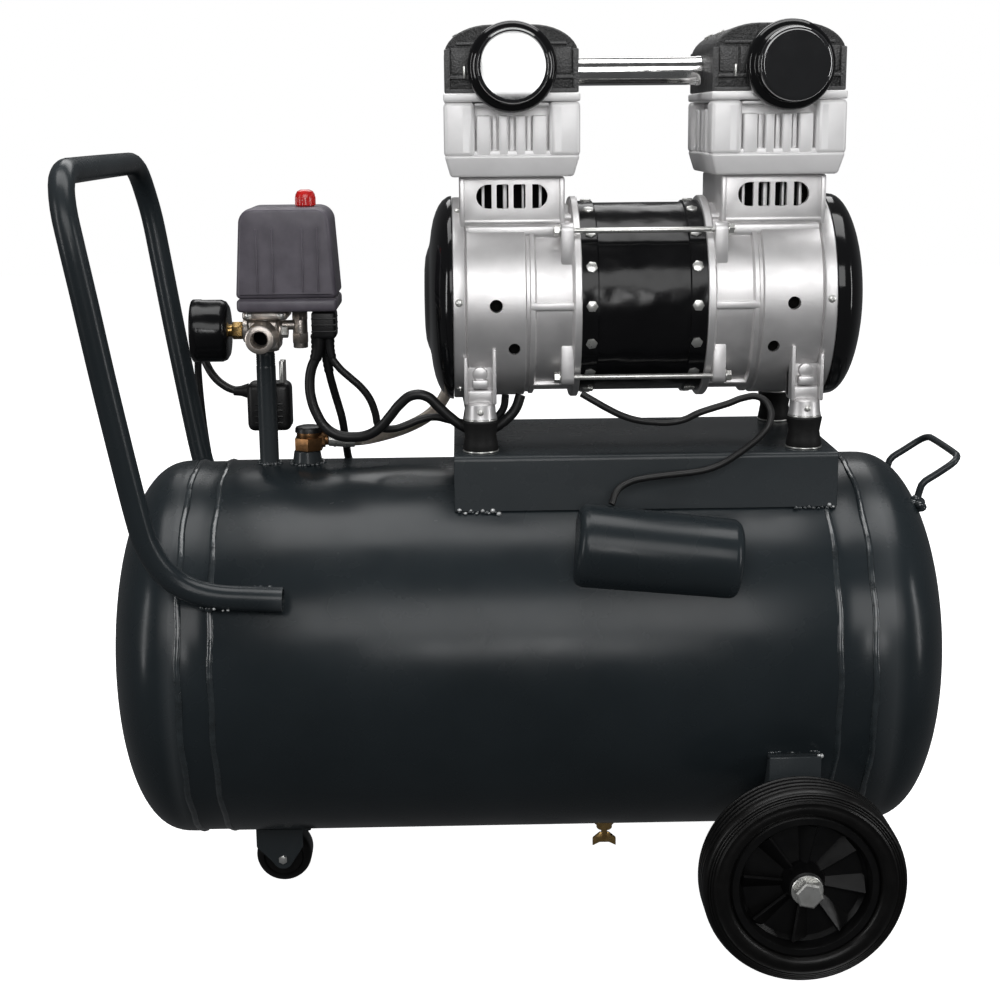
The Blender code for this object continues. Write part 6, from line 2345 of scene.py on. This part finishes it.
    def valves(self) -> None:
        """The unloader, the safety valve with its ring, and the check valve."""
        low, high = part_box("unloader_valve")
        x = -0.181
        unloader = Shape().rod((x, 0, low.z), (x, 0, high.z), 0.0058, 32, rounding=0.0008)
        unloader.rod((x, 0, low.z + 0.004), (x, 0, low.z + 0.012), 0.0067, 6, rounding=0.0004)
        unloader.rod((x, 0, high.z - 0.008), (x, 0, high.z - 0.001), 0.0066, 6, rounding=0.0004)
        unloader.rod((low.x, 0, 0.465), (x, 0, 0.465), 0.0039, 24)
        unloader.finish("unloader_elbow", CAST_MANIFOLD, replaces=["unloader_valve"])
        low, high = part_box("safety_valve")
        start, run = Vector((self.riser.x, low.y, self.manifold_z)), high.y - low.y
        profile = [
            (0.0022, run), (0.0046, run), (0.0052, run - 0.0010), (0.0062, run - 0.0035), (0.0064, 0.0150),
            (0.0054, 0.0142), (0.0054, 0.0130), (0.0064, 0.0122),
            (0.0064, 0.0095), (0.0060, 0.0020), (0.0056, 0.0), (0.0022, 0.0),
        ]
        valve = Shape().lathe(profile, start, Y_AXIS, 40, ring=True)
        valve.rod(start + Y_AXIS * 0.003, start + Y_AXIS * 0.009, 0.0079, 6, rounding=0.0005)
        valve.finish("safety_valve_body", BRASS, replaces=["safety_valve"])
        low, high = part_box("safety_ring")
        centre = Vector((self.riser.x, high.y - 0.0106, self.manifold_z))
        angles = [TURN * i / 40 for i in range(41)]
        wire = [centre + 0.0096 * Vector((0, math.cos(a), math.sin(a))) for a in angles]
        ring = Shape().sweep(wire, 0.00095, 12)
        ring.rod((centre.x, low.y, centre.z), (centre.x, centre.y - 0.0090, centre.z), 0.0016, 16)
        ring.finish("safety_pull_ring", ZINC, "relief_ring", ["safety_ring"], angle=60)
        self.check_valve()

    def check_valve(self) -> None:
        """The brass check valve with its black cap and side nut."""
        low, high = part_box("check_valve")
        x = -0.177
        brass = Shape().rod((x, 0, low.z), (x, 0, low.z + 0.0105), 0.0124, 6, rounding=0.0007)
        brass.rod((x, 0, low.z + 0.0100), (x, 0, low.z + 0.0150), 0.0098, 40, rounding=0.0006)
        brass.rod((x, 0, low.z + 0.0085), (high.x, 0, low.z + 0.0085), 0.0050, 28)
        brass.rod(
            (high.x - 0.0085, 0, low.z + 0.0085), (high.x - 0.0025, 0, low.z + 0.0085), 0.0068, 6,
            rounding=0.0004,
        )
        brass.finish("check_valve_body", AGED_BRASS, replaces=["check_valve"])
        cap = Shape().lathe(
            [
                (0.0, 0.0050), (0.0075, 0.0049), (0.0100, 0.0041), (0.0108, 0.0028), (0.0110, 0.0),
                (0.0, 0.0),
            ],
            (x, 0, low.z + 0.0145), Z_AXIS, 40,
        )
        cap.finish("check_valve_cap", BLACK_PLASTIC, slot="check_valve")


@dataclass
class Drain:
    """The drain cock under the tank."""

    stem: float = 0.0026

    def build(self) -> None:
        """Makes the cock and the wing that turns in it."""
        low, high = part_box("drain_valve")
        x = middle("drain_valve").x
        cock = Shape().lathe(
            [(0.0031, 0.0), (0.0060, 0.0), (0.0066, 0.0008), (0.0066, 0.0040), (0.0031, 0.0040)],
            (x, 0, low.z), Z_AXIS, 36, ring=True,
        )
        cock.lathe(
            [(0.0031, 0.0035), (0.0079, 0.0035), (0.0079, high.z - low.z), (0.0031, high.z - low.z)],
            (x, 0, low.z), Z_AXIS, 6, ring=True,
        )
        cock.finish("drain_cock_body", BRASS, replaces=["drain_valve"])
        low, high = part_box("drain_wing")
        wing = Shape().prism(
            [
                (-0.0098, 0.0), (-0.0098, 0.0070), (-0.0040, 0.0120), (0.0040, 0.0120), (0.0098, 0.0070),
                (0.0098, 0.0), (0.0040, 0.0030), (-0.0040, 0.0030),
            ],
            on_plane((x, 0.0014, low.z), X_AXIS, Z_AXIS), 0.0028, 0.0007, 2,
        )
        wing.rod((x, 0, low.z + 0.006), (x, 0, high.z), self.stem, 20)
        wing.finish("drain_wing_handle", BRASS, "drain_cock", ["drain_wing"])


@dataclass
class Internals:
    """The moving parts inside the pump, which keep their CAD shapes."""

    finishes: dict[str, Finish] = field(default_factory=lambda: {
        "rotor_shaft": LAMINATED_STEEL,
        "cooling_fan_left": BLACK_PLASTIC,
        "cooling_fan_right": BLACK_PLASTIC,
        "piston_left": CAST_ALUMINIUM,
        "piston_right": CAST_ALUMINIUM,
    })

    def build(self, frame: dict) -> None:
        """Gives each part its finish."""
        for node, finish in self.finishes.items():
            dress_node(frame, node, finish)


def main() -> None:
    """Builds the studio and then each part of the compressor."""
    logging.basicConfig(level=logging.INFO, format="%(message)s")
    for obj in list(bpy.data.objects):
        bpy.data.objects.remove(obj, do_unlink=True)
    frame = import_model()
    Studio().build()
    MainsLead().build(MainsPlug().build())
    BraidedHose().build()
    PumpLeads().build()
    Tank().build()
    Saddle().build()
    TubeWork().build()
    CapacitorHousing().build()
    for name, side in (("front", -1), ("back", 1)):
        Wheel(name, side).build()
    Caster().build()
    Motor().build()
    for name, side in (("left", -1), ("right", 1)):
        PumpHalf(name, side).build()
    TieRods().build()
    PressureGroup().build()
    Drain().build()
    Internals().build(frame)


if __name__ == "__main__":
    main()
